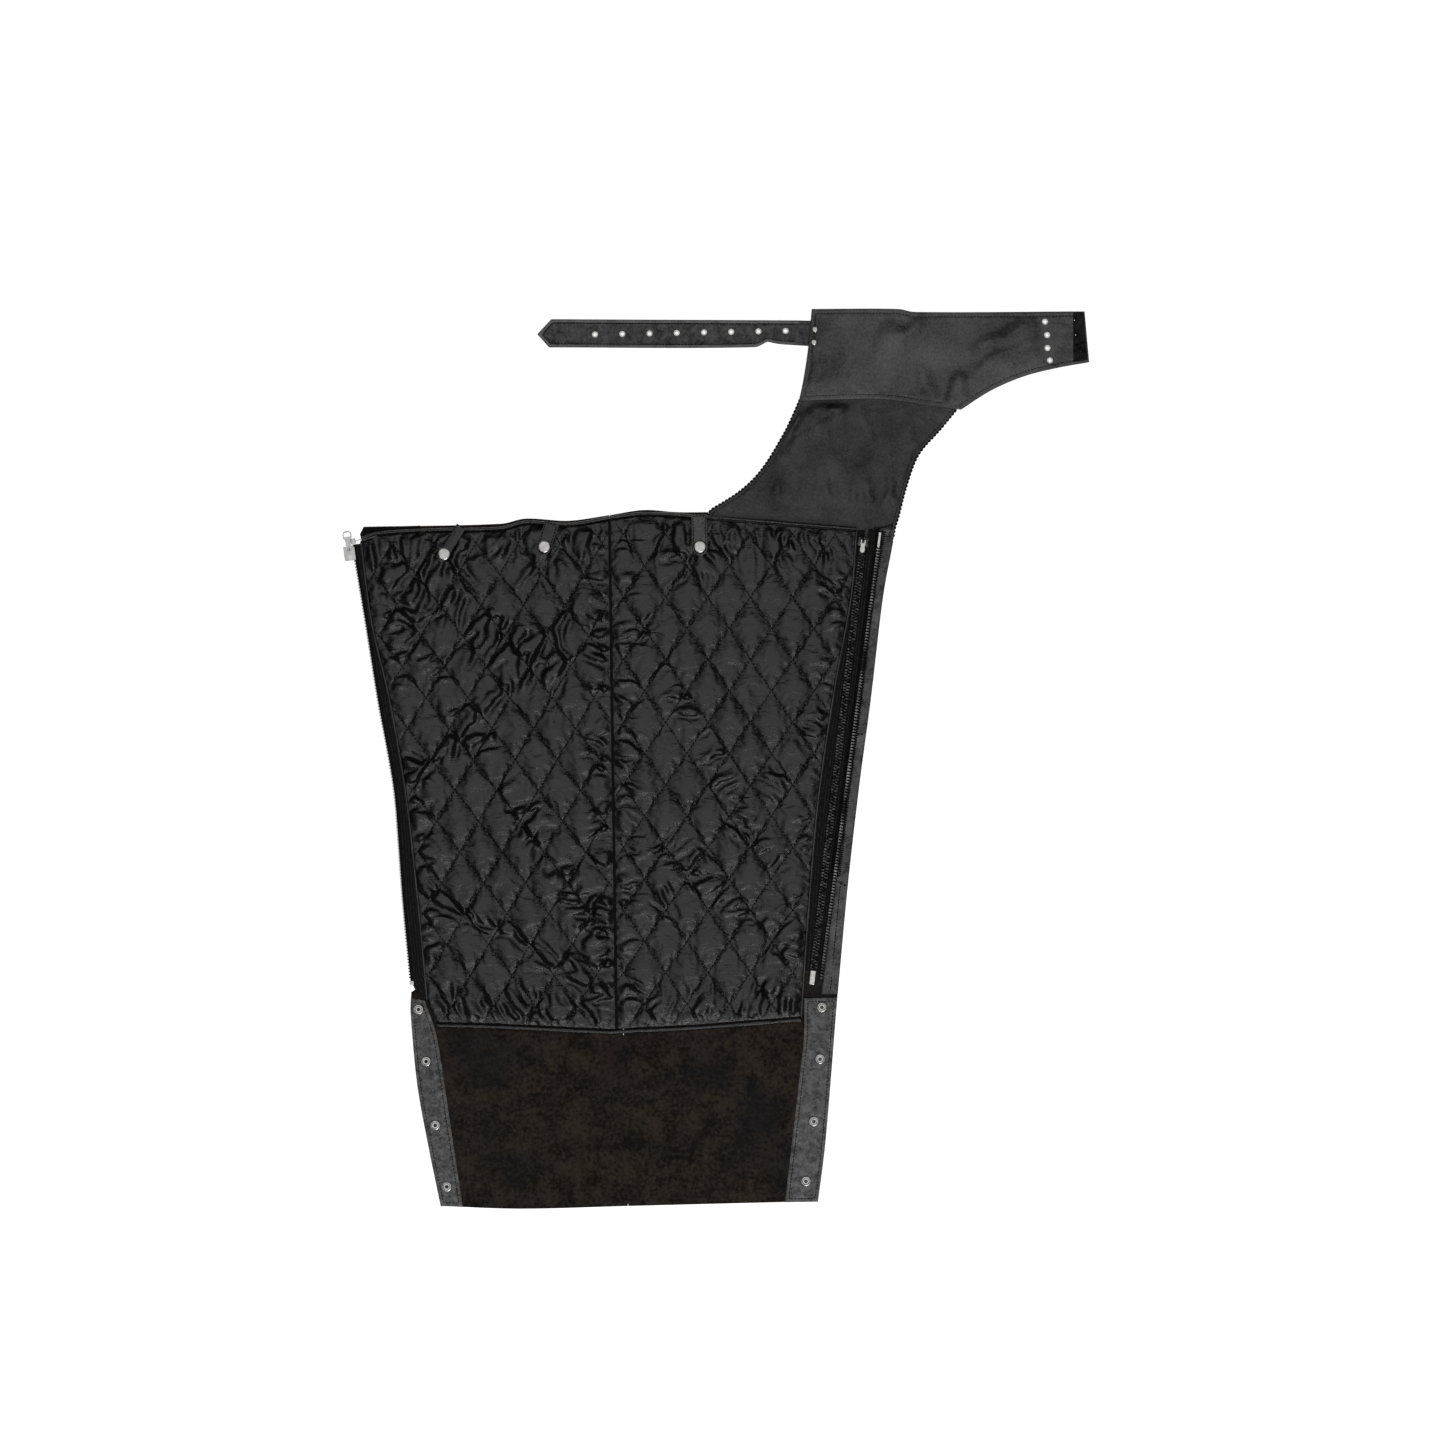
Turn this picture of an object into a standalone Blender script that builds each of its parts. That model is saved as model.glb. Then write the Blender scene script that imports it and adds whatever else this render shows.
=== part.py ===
"""One leg of a pair of black leather riding chaps, opened out flat with its quilted lining up.

+X is right, +Y is towards the waist and +Z is up out of the lining. The origin is on the surface
that the leg lies on, at the middle of its outline. The sizes below are in millimetres.
"""

import math

import bmesh
import bpy
from mathutils import Matrix, Vector

MM = 0.001

# Heights above the surface that the leg lies on, as (bottom, top).
SHELL = (0.0, 1.4)
FACING = (1.7, 3.1)
LINING = (1.7, 7.5)
HEM = (1.7, 6.3)
TAB = (7.8, 9.2)
YOKE = (1.7, 3.1)
STRAP = (0.8, 3.2)
SIDE_TAPE = (3.1, 3.9)
SIDE_CHAIN = (1.9, 5.1)
INNER_TAPE = (1.7, 2.5)
RIGHT_CHAIN = (1.7, 4.5)
INNER_CHAIN = (2.8, 5.4)
METAL_END = (1.7, 5.3)
FOLD_HEIGHT = 8.0
GAP = 0.3

# Lines that the leg folds on, each from end to end.
LEG_FOLD = ((-102.5, -526.0), (-124.5, 292.0))
YOKE_FOLD = ((-9.0, 288.6), (209.5, 270.4))
STRAP_FOLD = ((105.4, 470.0), (105.4, 520.0))

# Zip chains, each from its top to its bottom. The left one bows in from its slider's straight path.
SIDE_ZIP_LEFT = [
    (-422.5, 250.0), (-407.8, 162.2), (-392.3, 65.7), (-379.0, -5.3), (-372.9, -46.7),
    (-368.6, -101.5), (-363.7, -167.0), (-354.9, -258.0),
]
SIDE_SLIDE = ((-422.7, 250.0), (-354.5, -258.0))
SIDE_ZIP_RIGHT = ((189.0, 246.0), (122.2, -258.0))
LINER_ZIP = ((172.2, 259.0), (113.5, -246.0))
TOOTH_PITCH = 3.5
TOOTH_LONG = 1.9
TOOTH_DEEP = 3.0
CHAIN_HALF = 2.5
TAPE_GAP = 0.5
RIGHT_TAPE_ENDS = (262.0, -250.0)
LINER_CHAIN_HALF = 4.2
LINER_TAPE_HALF = 5.4
SIDE_SLIDER = (248.5, 232.0)
LINER_SLIDER = (258.5, 247.5)
PIN_BELOW_SLIDER_TOP = 4.0
PULL_THICKNESS = 1.0
SIDE_POST = -5.5
POST_HALF = 0.9
POST_LONG = 3.2
POST_TALL = 2.5
PULL_EYE = 17.6
FORK_HALF = 1.3

# Edges of the leg, as places that a line passes through.
SHELL_TOP_LEFT = [(-415.5, 262.0), (-411.0, 271.0), (-251.0, 274.5), (-222.0, 280.5), (-172.0, 278.0)]
SHELL_TOP_MIDDLE = [(-84.5, 290.5), (-45.0, 288.0)]
SHELL_RIGHT = [
    (209.0, 269.5), (194.9, 188.7), (180.5, 68.4), (167.1, -32.1),
    (153.9, -147.2), (140.9, -286.5), (127.8, -446.1), (119.0, -516.3),
]
SHELL_BOTTOM = [(-321.0, -521.5), (-228.7, -524.7), (79.7, -516.9), (119.0, -516.3)]
SHELL_LEFT = [
    (-321.0, -521.5), (-335.0, -453.8), (-348.3, -380.3), (-356.1, -297.0),
    (-355.5, -272.0), (-344.0, -264.0), (-412.0, 252.0),
]
LINING_TOP_LEFT = [
    (-413.5, 259.5), (-395.0, 265.5), (-330.0, 269.5), (-251.0, 271.5), (-222.0, 278.5), (-172.0, 276.0),
]
FOLD_TOP = 284.5
LINING_TOP_RIGHT = [(-84.5, 288.5), (-22.0, 285.5), (163.5, 270.8)]
LINING_RIGHT = [
    (163.5, 264.0), (157.0, 189.0), (137.7, 81.7), (118.6, -49.0), (107.2, -180.0), (98.8, -300.0),
]
HEM_LOW = [(-325.0, -313.5), (-251.0, -315.5), (-126.0, -321.5), (-22.0, -316.2), (98.8, -307.0)]
LINING_LEFT = [
    (-413.5, 254.0), (-401.6, 162.2), (-380.1, 68.4), (-361.3, -40.8),
    (-346.6, -171.9), (-336.5, -280.0), (-325.0, -306.5),
]
BINDING_WIDTH = 5.0
HEM_WIDTH = 6.0

# Lower flaps that carry the press studs, and the facing above the right one.
FLAP_TOP = -278.0
FACING_ENDS = (268.0, -274.0)
LEFT_FLAP_INNER = [
    (-339.5, -282.0), (-328.0, -314.0), (-322.7, -338.7), (-309.8, -424.9), (-295.3, -521.5),
]
RIGHT_FLAP_INNER = [(102.9, -279.0), (102.4, -323.1), (95.1, -390.7), (80.4, -516.8)]
LEFT_STUDS = [(-346.8, -292.0), (-338.0, -352.6), (-327.3, -427.0), (-313.8, -498.7)]
RIGHT_STUDS = [(123.4, -289.5), (121.3, -349.7), (114.0, -422.5), (104.9, -492.3)]

# Waist: the yoke, the thigh panel under it and the strap.
THIGH_LEFT = [(-9.0, 289.3), (27.8, 312.6), (52.9, 337.6), (76.1, 374.4), (89.7, 401.5), (97.5, 420.0)]
THIGH_LAP = [(101.0, 427.0), (197.4, 428.5), (246.5, 421.7), (281.0, 415.5)]
THIGH_RIGHT = [(281.0, 407.5), (261.8, 384.1), (236.7, 355.0), (223.2, 320.3), (213.5, 283.5), (209.5, 271.1)]
YOKE_SEAM = [(96.7, 417.6), (150.0, 419.5), (197.4, 419.5), (246.5, 412.7), (285.8, 407.2)]
YOKE_CURVE = [(285.8, 407.2), (320.3, 429.3), (357.0, 445.3), (393.9, 455.1), (435.1, 462.5)]
YOKE_TOP = [(429.8, 521.9), (231.8, 521.2), (212.2, 524.7), (111.5, 524.7)]
YOKE_LEFT = [(107.6, 480.9), (101.7, 441.6)]
END_FACING = [(416.5, 521.0), (416.5, 462.6), (433.2, 465.0), (428.6, 521.0)]
LACING_HOLES = [(383.6, 509.8), (386.1, 494.4), (386.5, 479.2), (389.4, 464.8)]
STRAP_OUTLINE = [
    (-208.5, 495.3), (-194.5, 479.8), (44.6, 480.1), (60.0, 486.4), (75.0, 483.6), (104.9, 479.4),
    (104.9, 512.4), (-192.0, 512.8),
]
STRAP_HOLES = 8
FIRST_STRAP_HOLE = (-141.0, 495.0)
STRAP_HOLE_PITCH = (31.75, 0.6)
RIVETS = [(115.4, 501.1), (114.3, 486.0)]

# Small metal pieces, as radii.
EYELET_BORE = 1.9
EYELET_BARREL = 2.3
EYELET_FLANGE = 3.6
STRAP_HOLE_RADIUS = 2.7
RIVET_SHAFT = 1.4
RIVET_HEAD = 3.9
RIVET_FOOT = 1.0
CAP_RADIUS = 7.5
STUD_RADIUS = 1.55
STUD_TALL = 1.3
TAB_HOLE = 1.95
PRESS_STUD_RADIUS = 6.0
ROUND_SIDES = 14

# Snap tabs: the middle of the root, the cap's middle, and the width.
SNAP_TABS = {
    "1": ((-296.5, 271.0), (-316.6, 238.8), 12.0),
    "2": ((-191.0, 275.5), (-200.0, 247.3), 17.0),
    "3": ((-19.8, 285.0), (-18.7, 247.3), 18.0),
}
TAB_END = 10.5
TAB_END_STEPS = 8

# Colours as linear red, green and blue, then roughness, then metallic.
FINISHES = {
    "grain_leather": ((0.030, 0.030, 0.032), 0.45, 0.0),
    "suede_side": ((0.012, 0.010, 0.009), 0.95, 0.0),
    "facing_leather": ((0.055, 0.055, 0.057), 0.55, 0.0),
    "lining_satin": ((0.010, 0.010, 0.011), 0.35, 0.0),
    "zip_tape": ((0.008, 0.008, 0.008), 0.85, 0.0),
    "nickel": ((0.70, 0.69, 0.67), 0.25, 1.0),
    "dark_metal": ((0.16, 0.16, 0.16), 0.35, 1.0),
}


def clear_scene():
    for obj in list(bpy.data.objects):
        bpy.data.objects.remove(obj, do_unlink=True)


def finish_named(name):
    found = bpy.data.materials.get(name)
    if found:
        return found
    colour, roughness, metallic = FINISHES[name]
    made = bpy.data.materials.new(name)
    made.use_nodes = True
    shader = made.node_tree.nodes["Principled BSDF"]
    shader.inputs["Base Color"].default_value = (*colour, 1.0)
    shader.inputs["Roughness"].default_value = roughness
    shader.inputs["Metallic"].default_value = metallic
    return made


def make_body(name, origin, parent=None):
    """An empty that a moving group hangs from, on its joint's axis."""
    empty = bpy.data.objects.new(name, None)
    empty.empty_display_size = 0.03
    place = Vector(origin) * MM
    if parent:
        empty.parent = parent
        place -= parent.matrix_world.translation
    empty.location = place
    bpy.context.scene.collection.objects.link(empty)
    bpy.context.view_layer.update()
    return empty


def add_mesh(name, bm, finish, body):
    """Turns a bmesh in world millimetres into an object whose origin is its body's."""
    bmesh.ops.recalc_face_normals(bm, faces=bm.faces)
    bmesh.ops.scale(bm, vec=(MM, MM, MM), verts=bm.verts)
    bmesh.ops.translate(bm, vec=-body.matrix_world.translation, verts=bm.verts)
    mesh = bpy.data.meshes.new(name)
    bm.to_mesh(mesh)
    bm.free()
    mesh.materials.append(finish_named(finish))
    obj = bpy.data.objects.new(name, mesh)
    obj.parent = body
    bpy.context.scene.collection.objects.link(obj)
    return obj


def smooth_shade(obj):
    obj.data.shade_smooth()
    obj.data.set_sharp_from_angle(angle=math.radians(35))
    return obj


def between(line, share):
    """The point at a share of the way along a line."""
    (ax, ay), (bx, by) = line
    return ax + (bx - ax) * share, ay + (by - ay) * share


def direction_of(line):
    (ax, ay), (bx, by) = line
    length = math.hypot(bx - ax, by - ay)
    return (bx - ax) / length, (by - ay) / length


def at_height(line, y, across=0.0):
    """The point of a line at height y, moved sideways."""
    (ax, ay), (bx, by) = line
    return ax + (bx - ax) * (y - ay) / (by - ay) + across, y


def moved(points, across, along=0.0):
    return [(x + across, y + along) for x, y in points]


def curve_at(t, before, start, end, after):
    """One coordinate of a Catmull-Rom curve, at a share t of the way from start to end."""
    square = 2 * before - 5 * start + 4 * end - after
    cube = 3 * start - before - 3 * end + after
    return 0.5 * (2 * start + (end - before) * t + square * t * t + cube * t ** 3)


def rounded(points, steps=4):
    """A smooth line through the points."""
    ends = [points[0], *points, points[-1]]
    line = []
    for a, b, c, d in zip(ends, ends[1:], ends[2:], ends[3:]):
        for step in range(steps):
            t = step / steps
            line.append(tuple(curve_at(t, *corners) for corners in zip(a, b, c, d)))
    return [*line, points[-1]]


def prism(outline, low, high):
    """A bmesh with the given outline between two heights."""
    bm = bmesh.new()
    face = bm.faces.new([bm.verts.new((x, y, low)) for x, y in outline])
    walls = bmesh.ops.extrude_face_region(bm, geom=[face])
    top = [v for v in walls["geom"] if isinstance(v, bmesh.types.BMVert)]
    bmesh.ops.translate(bm, vec=(0, 0, high - low), verts=top)
    return bm


def slab(name, outline, heights, finish, body):
    return add_mesh(name, prism(outline, *heights), finish, body)


def bar_section(half, heights):
    low, high = heights
    return [(-half, low), (half, low), (half, high), (-half, high)]


def length_run(name, section, line, finish, body):
    """A piece with one section all along a line. The section is (across, height) points."""
    bm = bmesh.new()
    (ax, ay), (bx, by) = line
    dx, dy = direction_of(line)
    face = bm.faces.new([bm.verts.new((ax - dy * a, ay + dx * a, z)) for a, z in section])
    walls = bmesh.ops.extrude_face_region(bm, geom=[face])
    far = [v for v in walls["geom"] if isinstance(v, bmesh.types.BMVert)]
    bmesh.ops.translate(bm, vec=(bx - ax, by - ay, 0), verts=far)
    return add_mesh(name, bm, finish, body)


def turned(name, profile, centre, finish, body, closed=True):
    """A round piece: its (radius, height) profile spun about the vertical through the centre."""
    bm = bmesh.new()
    x, y = centre
    ring = [bm.verts.new((x + r, y, z)) for r, z in profile]
    pairs = list(zip(ring, ring[1:])) + ([(ring[-1], ring[0])] if closed else [])
    edges = [bm.edges.new(pair) for pair in pairs]
    bmesh.ops.spin(
        bm, geom=ring + edges, cent=(x, y, 0), axis=(0, 0, 1),
        angle=math.tau, steps=ROUND_SIDES, use_merge=True,
    )
    bmesh.ops.remove_doubles(bm, verts=bm.verts, dist=0.001)
    return smooth_shade(add_mesh(name, bm, finish, body))


def helper_mesh(name, bm, body):
    helper = add_mesh(name, bm, "nickel", body)
    helper.hide_render = True
    helper.display_type = "WIRE"
    return helper


def apply_boolean(obj, operation, helper):
    step = obj.modifiers.new(operation.title(), "BOOLEAN")
    step.operation = operation
    step.object = helper
    return obj


def punch(obj, holes, radius, body):
    """Cuts a round hole down through the piece at each place."""
    bm = bmesh.new()
    for x, y in holes:
        bmesh.ops.create_cone(
            bm, cap_ends=True, segments=ROUND_SIDES, radius1=radius, radius2=radius, depth=30,
            matrix=Matrix.Translation((x, y, 5)),
        )
    return apply_boolean(obj, "DIFFERENCE", helper_mesh(obj.name + "_holes", bm, body))


def eyelet(name, centre, leather, body):
    """A metal ring through leather: a barrel with a rolled flange on each face."""
    low, high = leather
    profile = [
        (EYELET_BORE, low - 0.65), (EYELET_FLANGE, low - 0.65), (EYELET_FLANGE, low - GAP),
        (EYELET_BARREL, low - GAP), (EYELET_BARREL, high + GAP), (EYELET_FLANGE, high + GAP),
        (EYELET_FLANGE - 0.7, high + 0.9), (EYELET_BORE, high + 0.8),
    ]
    return turned(name, profile, centre, "nickel", body)


def press_stud(name, centre, body):
    """The ring-shaped half of a press stud, standing on a flap."""
    base = FACING[1] + GAP
    outer = PRESS_STUD_RADIUS
    profile = [
        (0, base), (outer, base), (outer, base + 0.7), (outer - 0.8, base + 1.5), (outer - 2.2, base + 1.6),
        (outer - 3.0, base + 0.7), (0, base + 0.7),
    ]
    return turned(name, profile, centre, "nickel", body, closed=False)


def snap_tab(number, body_below):
    """A tab on its own fold, with its domed cap, and the stud that it closes on."""
    start, cap, width = SNAP_TABS[number]
    reach = math.hypot(cap[0] - start[0], cap[1] - start[1])
    tab_body = make_body("fold_snap_tab_" + number, (*start, sum(TAB) / 2), body_below)
    half = width / 2
    turns = [math.pi * step / TAB_END_STEPS for step in range(TAB_END_STEPS + 1)]
    local = [(-half, 0.0)]
    local += [(-half * math.cos(turn), reach + TAB_END * math.sin(turn)) for turn in turns]
    local += [(half, 0.0)]
    finish = "lining_satin" if number == "1" else "grain_leather"
    tab = slab("snap_tab_" + number, in_line((start, cap), local), TAB, finish, tab_body)
    punch(tab, [cap], TAB_HOLE, tab_body)
    top = TAB[1] + GAP
    dome = [
        (0, top), (CAP_RADIUS - 0.4, top), (CAP_RADIUS, top + 0.5), (CAP_RADIUS - 0.7, top + 1.5),
        (CAP_RADIUS - 3.0, top + 2.2), (0, top + 2.5),
    ]
    turned("snap_cap_" + number, dome, cap, "nickel", tab_body, closed=False)
    low = LINING[1] + GAP
    high = low + STUD_TALL
    post = [(0, low), (STUD_RADIUS, low), (STUD_RADIUS, low + 0.5), (STUD_RADIUS - 0.5, high), (0, high)]
    turned("snap_stud_" + number, post, cap, "nickel", body_below, closed=False)


def in_line(line, points):
    """Turns (across, along) places into (x, y), with across to the right of a line that runs down."""
    ax, ay = line[0]
    dx, dy = direction_of(line)
    return [(ax + dx * b - dy * a, ay + dy * b + dx * a) for a, b in points]


def beside(points, across):
    """The line that runs beside a line of points, to its right as it goes down."""
    moved_on = []
    for place, (x, y) in enumerate(points):
        before, after = points[max(place - 1, 0)], points[min(place + 1, len(points) - 1)]
        dx, dy = direction_of((before, after))
        moved_on.append((x - dy * across, y + dx * across))
    return moved_on


def walk(points, distance):
    """The straight piece of a line of points that a distance falls on, and how far along it."""
    for piece in zip(points, points[1:]):
        (ax, ay), (bx, by) = piece
        length = math.hypot(bx - ax, by - ay)
        if distance <= length:
            return piece, distance
        distance -= length
    return piece, length


def zip_teeth(name, points, side, heights, body):
    """One half of a zip chain: a bead along the tape with a tooth at every pitch."""
    root = CHAIN_HALF - TOOTH_DEEP
    total = sum(math.hypot(c - a, d - b) for (a, b), (c, d) in zip(points, points[1:]))
    outline = [*in_line(points[:2], [(root * side, 0.0)])]
    for tooth in range(int(total / TOOTH_PITCH)):
        piece, start = walk(points, tooth * TOOTH_PITCH + (TOOTH_PITCH - TOOTH_LONG) / 2)
        end = start + TOOTH_LONG
        corners = [(root, start), (CHAIN_HALF, start), (CHAIN_HALF, end), (root, end)]
        outline += in_line(piece, [(a * side, b) for a, b in corners])
    outline += [*beside(points, root * side)[-1:], *reversed(beside(points, -CHAIN_HALF * side))]
    return slab(name, outline, heights, "dark_metal", body)


def block(name, line, along, across, heights, finish, body):
    """A box on a line, between two distances along it and two across it."""
    (near, far), (left, right) = along, across
    outline = in_line(line, [(left, near), (right, near), (right, far), (left, far)])
    return slab(name, outline, heights, finish, body)


def distance_to(line, y):
    """How far along a line its height y is."""
    (ax, ay), (bx, by) = line
    return (ay - y) / (ay - by) * math.hypot(bx - ax, by - ay)


def rivet(name, centre, body):
    head = YOKE[1] + GAP
    profile = [
        (0, RIVET_FOOT), (RIVET_SHAFT, RIVET_FOOT), (RIVET_SHAFT, head), (RIVET_HEAD, head),
        (RIVET_HEAD, head + 0.4), (RIVET_HEAD - 0.9, head + 1.4), (RIVET_HEAD - 2.4, head + 1.9),
        (0, head + 2.0),
    ]
    return turned(name, profile, centre, "nickel", body, closed=False)


def height_on(points, x):
    """The height at x of a line that runs from left to right through the points."""
    for (ax, ay), (bx, by) in zip(points, points[1:]):
        if ax <= x <= bx:
            return ay + (by - ay) * (x - ax) / (bx - ax)
    return points[-1][1]


def beyond(points, y):
    """The point at height y on a line that runs down through the points."""
    return height_on([(-b, a) for a, b in points], -y), y


def fold_point(y, side):
    """A point beside the leg's fold line, on its left (-1) or right (1) half."""
    return at_height(LEG_FOLD, y, side * GAP)


def two_sided(lower, upper):
    return [*lower, *reversed(upper)]


def build_shells(left, right):
    bottom_mid = height_on(SHELL_BOTTOM, LEG_FOLD[0][0])
    top_left = [*SHELL_TOP_LEFT, fold_point(FOLD_TOP, -1)]
    bottom_left = [SHELL_BOTTOM[0], SHELL_BOTTOM[1], fold_point(bottom_mid, -1)]
    outline = [*bottom_left, *reversed(top_left), *reversed(SHELL_LEFT[1:])]
    slab("leg_shell_left", outline, SHELL, "grain_leather", left)
    thigh_edge = [(YOKE_FOLD[0][0], YOKE_FOLD[0][1] - 0.6)]
    top_right = [fold_point(FOLD_TOP, 1), *SHELL_TOP_MIDDLE, *thigh_edge]
    bottom_right = [fold_point(bottom_mid, 1), *SHELL_BOTTOM[2:]]
    outline = [*bottom_right, *reversed(SHELL_RIGHT[:-1]), *reversed(top_right)]
    slab("leg_shell_right", outline, SHELL, "grain_leather", right)


def build_lining(left, right):
    hem_mid = height_on(HEM_LOW, -108.0)
    top_mid = FOLD_TOP - 1.0
    tops = {
        "left": [*LINING_TOP_LEFT, fold_point(top_mid, -1)],
        "right": [fold_point(top_mid, 1), *LINING_TOP_RIGHT],
    }
    hems = {
        "left": [*HEM_LOW[:3], fold_point(hem_mid, -1)],
        "right": [fold_point(hem_mid, 1), *HEM_LOW[3:]],
    }
    sides = {"left": LINING_LEFT, "right": list(reversed(LINING_RIGHT))}
    for half, body in (("left", left), ("right", right)):
        top, hem = tops[half], hems[half]
        binding = two_sided(moved(top, 0, -BINDING_WIDTH), top)
        slab("lining_binding_" + half, binding, LINING, "lining_satin", body)
        slab("lining_hem_" + half, two_sided(hem, moved(hem, 0, HEM_WIDTH)), HEM, "lining_satin", body)
        upper = moved(top, 0, -BINDING_WIDTH - GAP)
        lower = moved(hem, 0, HEM_WIDTH + GAP)
        if half == "left":
            outline = [*lower, *reversed(upper), *sides[half][:-1]]
        else:
            outline = [*lower, *sides[half][1:-1], *reversed(upper)]
        slab("quilted_lining_" + half, outline, LINING, "lining_satin", body)


def build_flaps(left, right):
    outer = [point for point in SHELL_LEFT if point[1] < FLAP_TOP]
    outline = [*reversed(LEFT_FLAP_INNER), (outer[-1][0] + 0.3, FLAP_TOP), *reversed(outer)]
    slab("snap_flap_left", outline, FACING, "facing_leather", left)
    outer = [beyond(SHELL_RIGHT, FLAP_TOP), *[point for point in SHELL_RIGHT if point[1] < FLAP_TOP]]
    slab("snap_flap_right", [*RIGHT_FLAP_INNER, *reversed(outer)], FACING, "facing_leather", right)
    for side, places, body in (("left", LEFT_STUDS, left), ("right", RIGHT_STUDS, right)):
        for place, centre in enumerate(places, 1):
            press_stud(f"press_stud_{side}_{place}", centre, body)
    top, low = FACING_ENDS
    inner = [at_height(SIDE_ZIP_RIGHT, y, CHAIN_HALF + 0.5) for y in FACING_ENDS]
    outer = [point for point in SHELL_RIGHT if low < point[1] < top]
    outer = [beyond(SHELL_RIGHT, top), *outer, beyond(SHELL_RIGHT, low)]
    slab("edge_facing", [*inner, *reversed(outer)], FACING, "facing_leather", right)


def zip_pull(name, line, along, up, outline_half, body):
    """A flat pull on a slider's post. Its outline is the right half, from the fork to the tip."""
    fork = [(FORK_HALF, 3.2), (-FORK_HALF, 3.2), (-FORK_HALF, -0.8)]
    left_half = [(-a, b) for a, b in outline_half]
    local = [*fork, *left_half, *reversed(outline_half), (FORK_HALF, -0.8)]
    axis_height = body.matrix_world.translation.z / MM
    heights = (axis_height - PULL_THICKNESS / 2, axis_height + PULL_THICKNESS / 2)
    turn = -1 if up else 1
    return slab(name, in_line(line, [(a, along + turn * b) for a, b in local]), heights, "nickel", body)


def build_side_zip(left, right):
    curve = rounded(SIDE_ZIP_LEFT)
    zip_teeth("side_zip_chain_left", curve, -1, SIDE_CHAIN, left)
    top, low = SIDE_ZIP_LEFT[0][1], SIDE_ZIP_LEFT[-1][1]
    inner = [point for point in LINING_LEFT if low < point[1] < top]
    inner = moved([beyond(LINING_LEFT, top), *inner, beyond(LINING_LEFT, low)], -TAPE_GAP)
    tape = [*beside(curve, CHAIN_HALF + GAP), *reversed(inner)]
    slab("side_zip_tape_left", tape, SIDE_TAPE, "zip_tape", left)
    block("side_zip_box", curve[:2], (-7.0, -0.8), (-3.0, 3.0), METAL_END, "nickel", left)
    end = distance_to(curve[-2:], low)
    block("side_zip_stop", curve[-2:], (end + 0.4, end + 4.9), (-2.5, 2.5), METAL_END, "nickel", left)
    section = bar_section(CHAIN_HALF, RIGHT_CHAIN)
    length_run("side_zip_chain_right", section, SIDE_ZIP_RIGHT, "dark_metal", right)
    block("side_zip_pin", SIDE_ZIP_RIGHT, (-18.5, -0.8), (-1.5, 1.5), RIGHT_CHAIN, "nickel", right)
    top, low = RIGHT_TAPE_ENDS
    near = [at_height(LINER_ZIP, y, LINER_TAPE_HALF + TAPE_GAP) for y in (top, low)]
    far = [at_height(SIDE_ZIP_RIGHT, y, -CHAIN_HALF - GAP) for y in (low, top)]
    slab("side_zip_tape_right", [*near, *far], INNER_TAPE, "zip_tape", right)
    build_side_slider(left)


def build_side_slider(left):
    start, end = (distance_to(SIDE_SLIDE, y) for y in SIDE_SLIDER)
    pin = start + PIN_BELOW_SLIDER_TOP
    (px, py), = in_line(SIDE_SLIDE, [(SIDE_POST, pin)])
    slider_body = make_body("slide_side_zip", (px, py, 3.5), left)
    section = [
        (-12.0, 0.2), (1.0, 0.2), (1.0, 1.4), (-3.5, 1.4), (-3.5, 5.6), (1.0, 5.6), (1.0, 6.8), (-12.0, 6.8),
    ]
    line = tuple(in_line(SIDE_SLIDE, [(0, start), (0, end)]))
    slider = length_run("side_zip_slider", section, line, "nickel", slider_body)
    add_post(slider, SIDE_SLIDE, (SIDE_POST, pin), 6.8, slider_body)
    pull_body = make_body("swing_side_pull", (px, py, 8.0), slider_body)
    outline = [
        (2.9, -0.8), (2.9, 4.5), (2.5, 8.0), (3.4, 11.5), (5.1, 13.5), (5.4, 17.5), (4.6, 20.3), (2.4, 21.9),
    ]
    pull_line = tuple(in_line(SIDE_SLIDE, [(SIDE_POST, 0), (SIDE_POST, 1)]))
    pull = zip_pull("side_zip_pull", pull_line, pin, True, outline, pull_body)
    corners = [(3.1, -2.4), (3.7, -1.6), (3.7, 1.2), (2.4, 2.5)]
    eye = [*corners, *[(-a, b) for a, b in reversed(corners)]]
    places = in_line(pull_line, [(a, pin - PULL_EYE - b) for a, b in eye])
    apply_boolean(pull, "DIFFERENCE", helper_mesh("side_zip_pull_eye", prism(places, 5.0, 13.0), pull_body))


def add_post(slider, line, place, top, body):
    """The lug on a slider's top plate that its pull turns on."""
    across, along = place
    signs = [(-1, -1), (1, -1), (1, 1), (-1, 1)]
    corners = [(across + POST_HALF * a, along + POST_LONG / 2 * b) for a, b in signs]
    post = prism(in_line(line, corners), top - 0.5, top + POST_TALL)
    apply_boolean(slider, "UNION", helper_mesh(slider.name + "_post", post, body))


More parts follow.
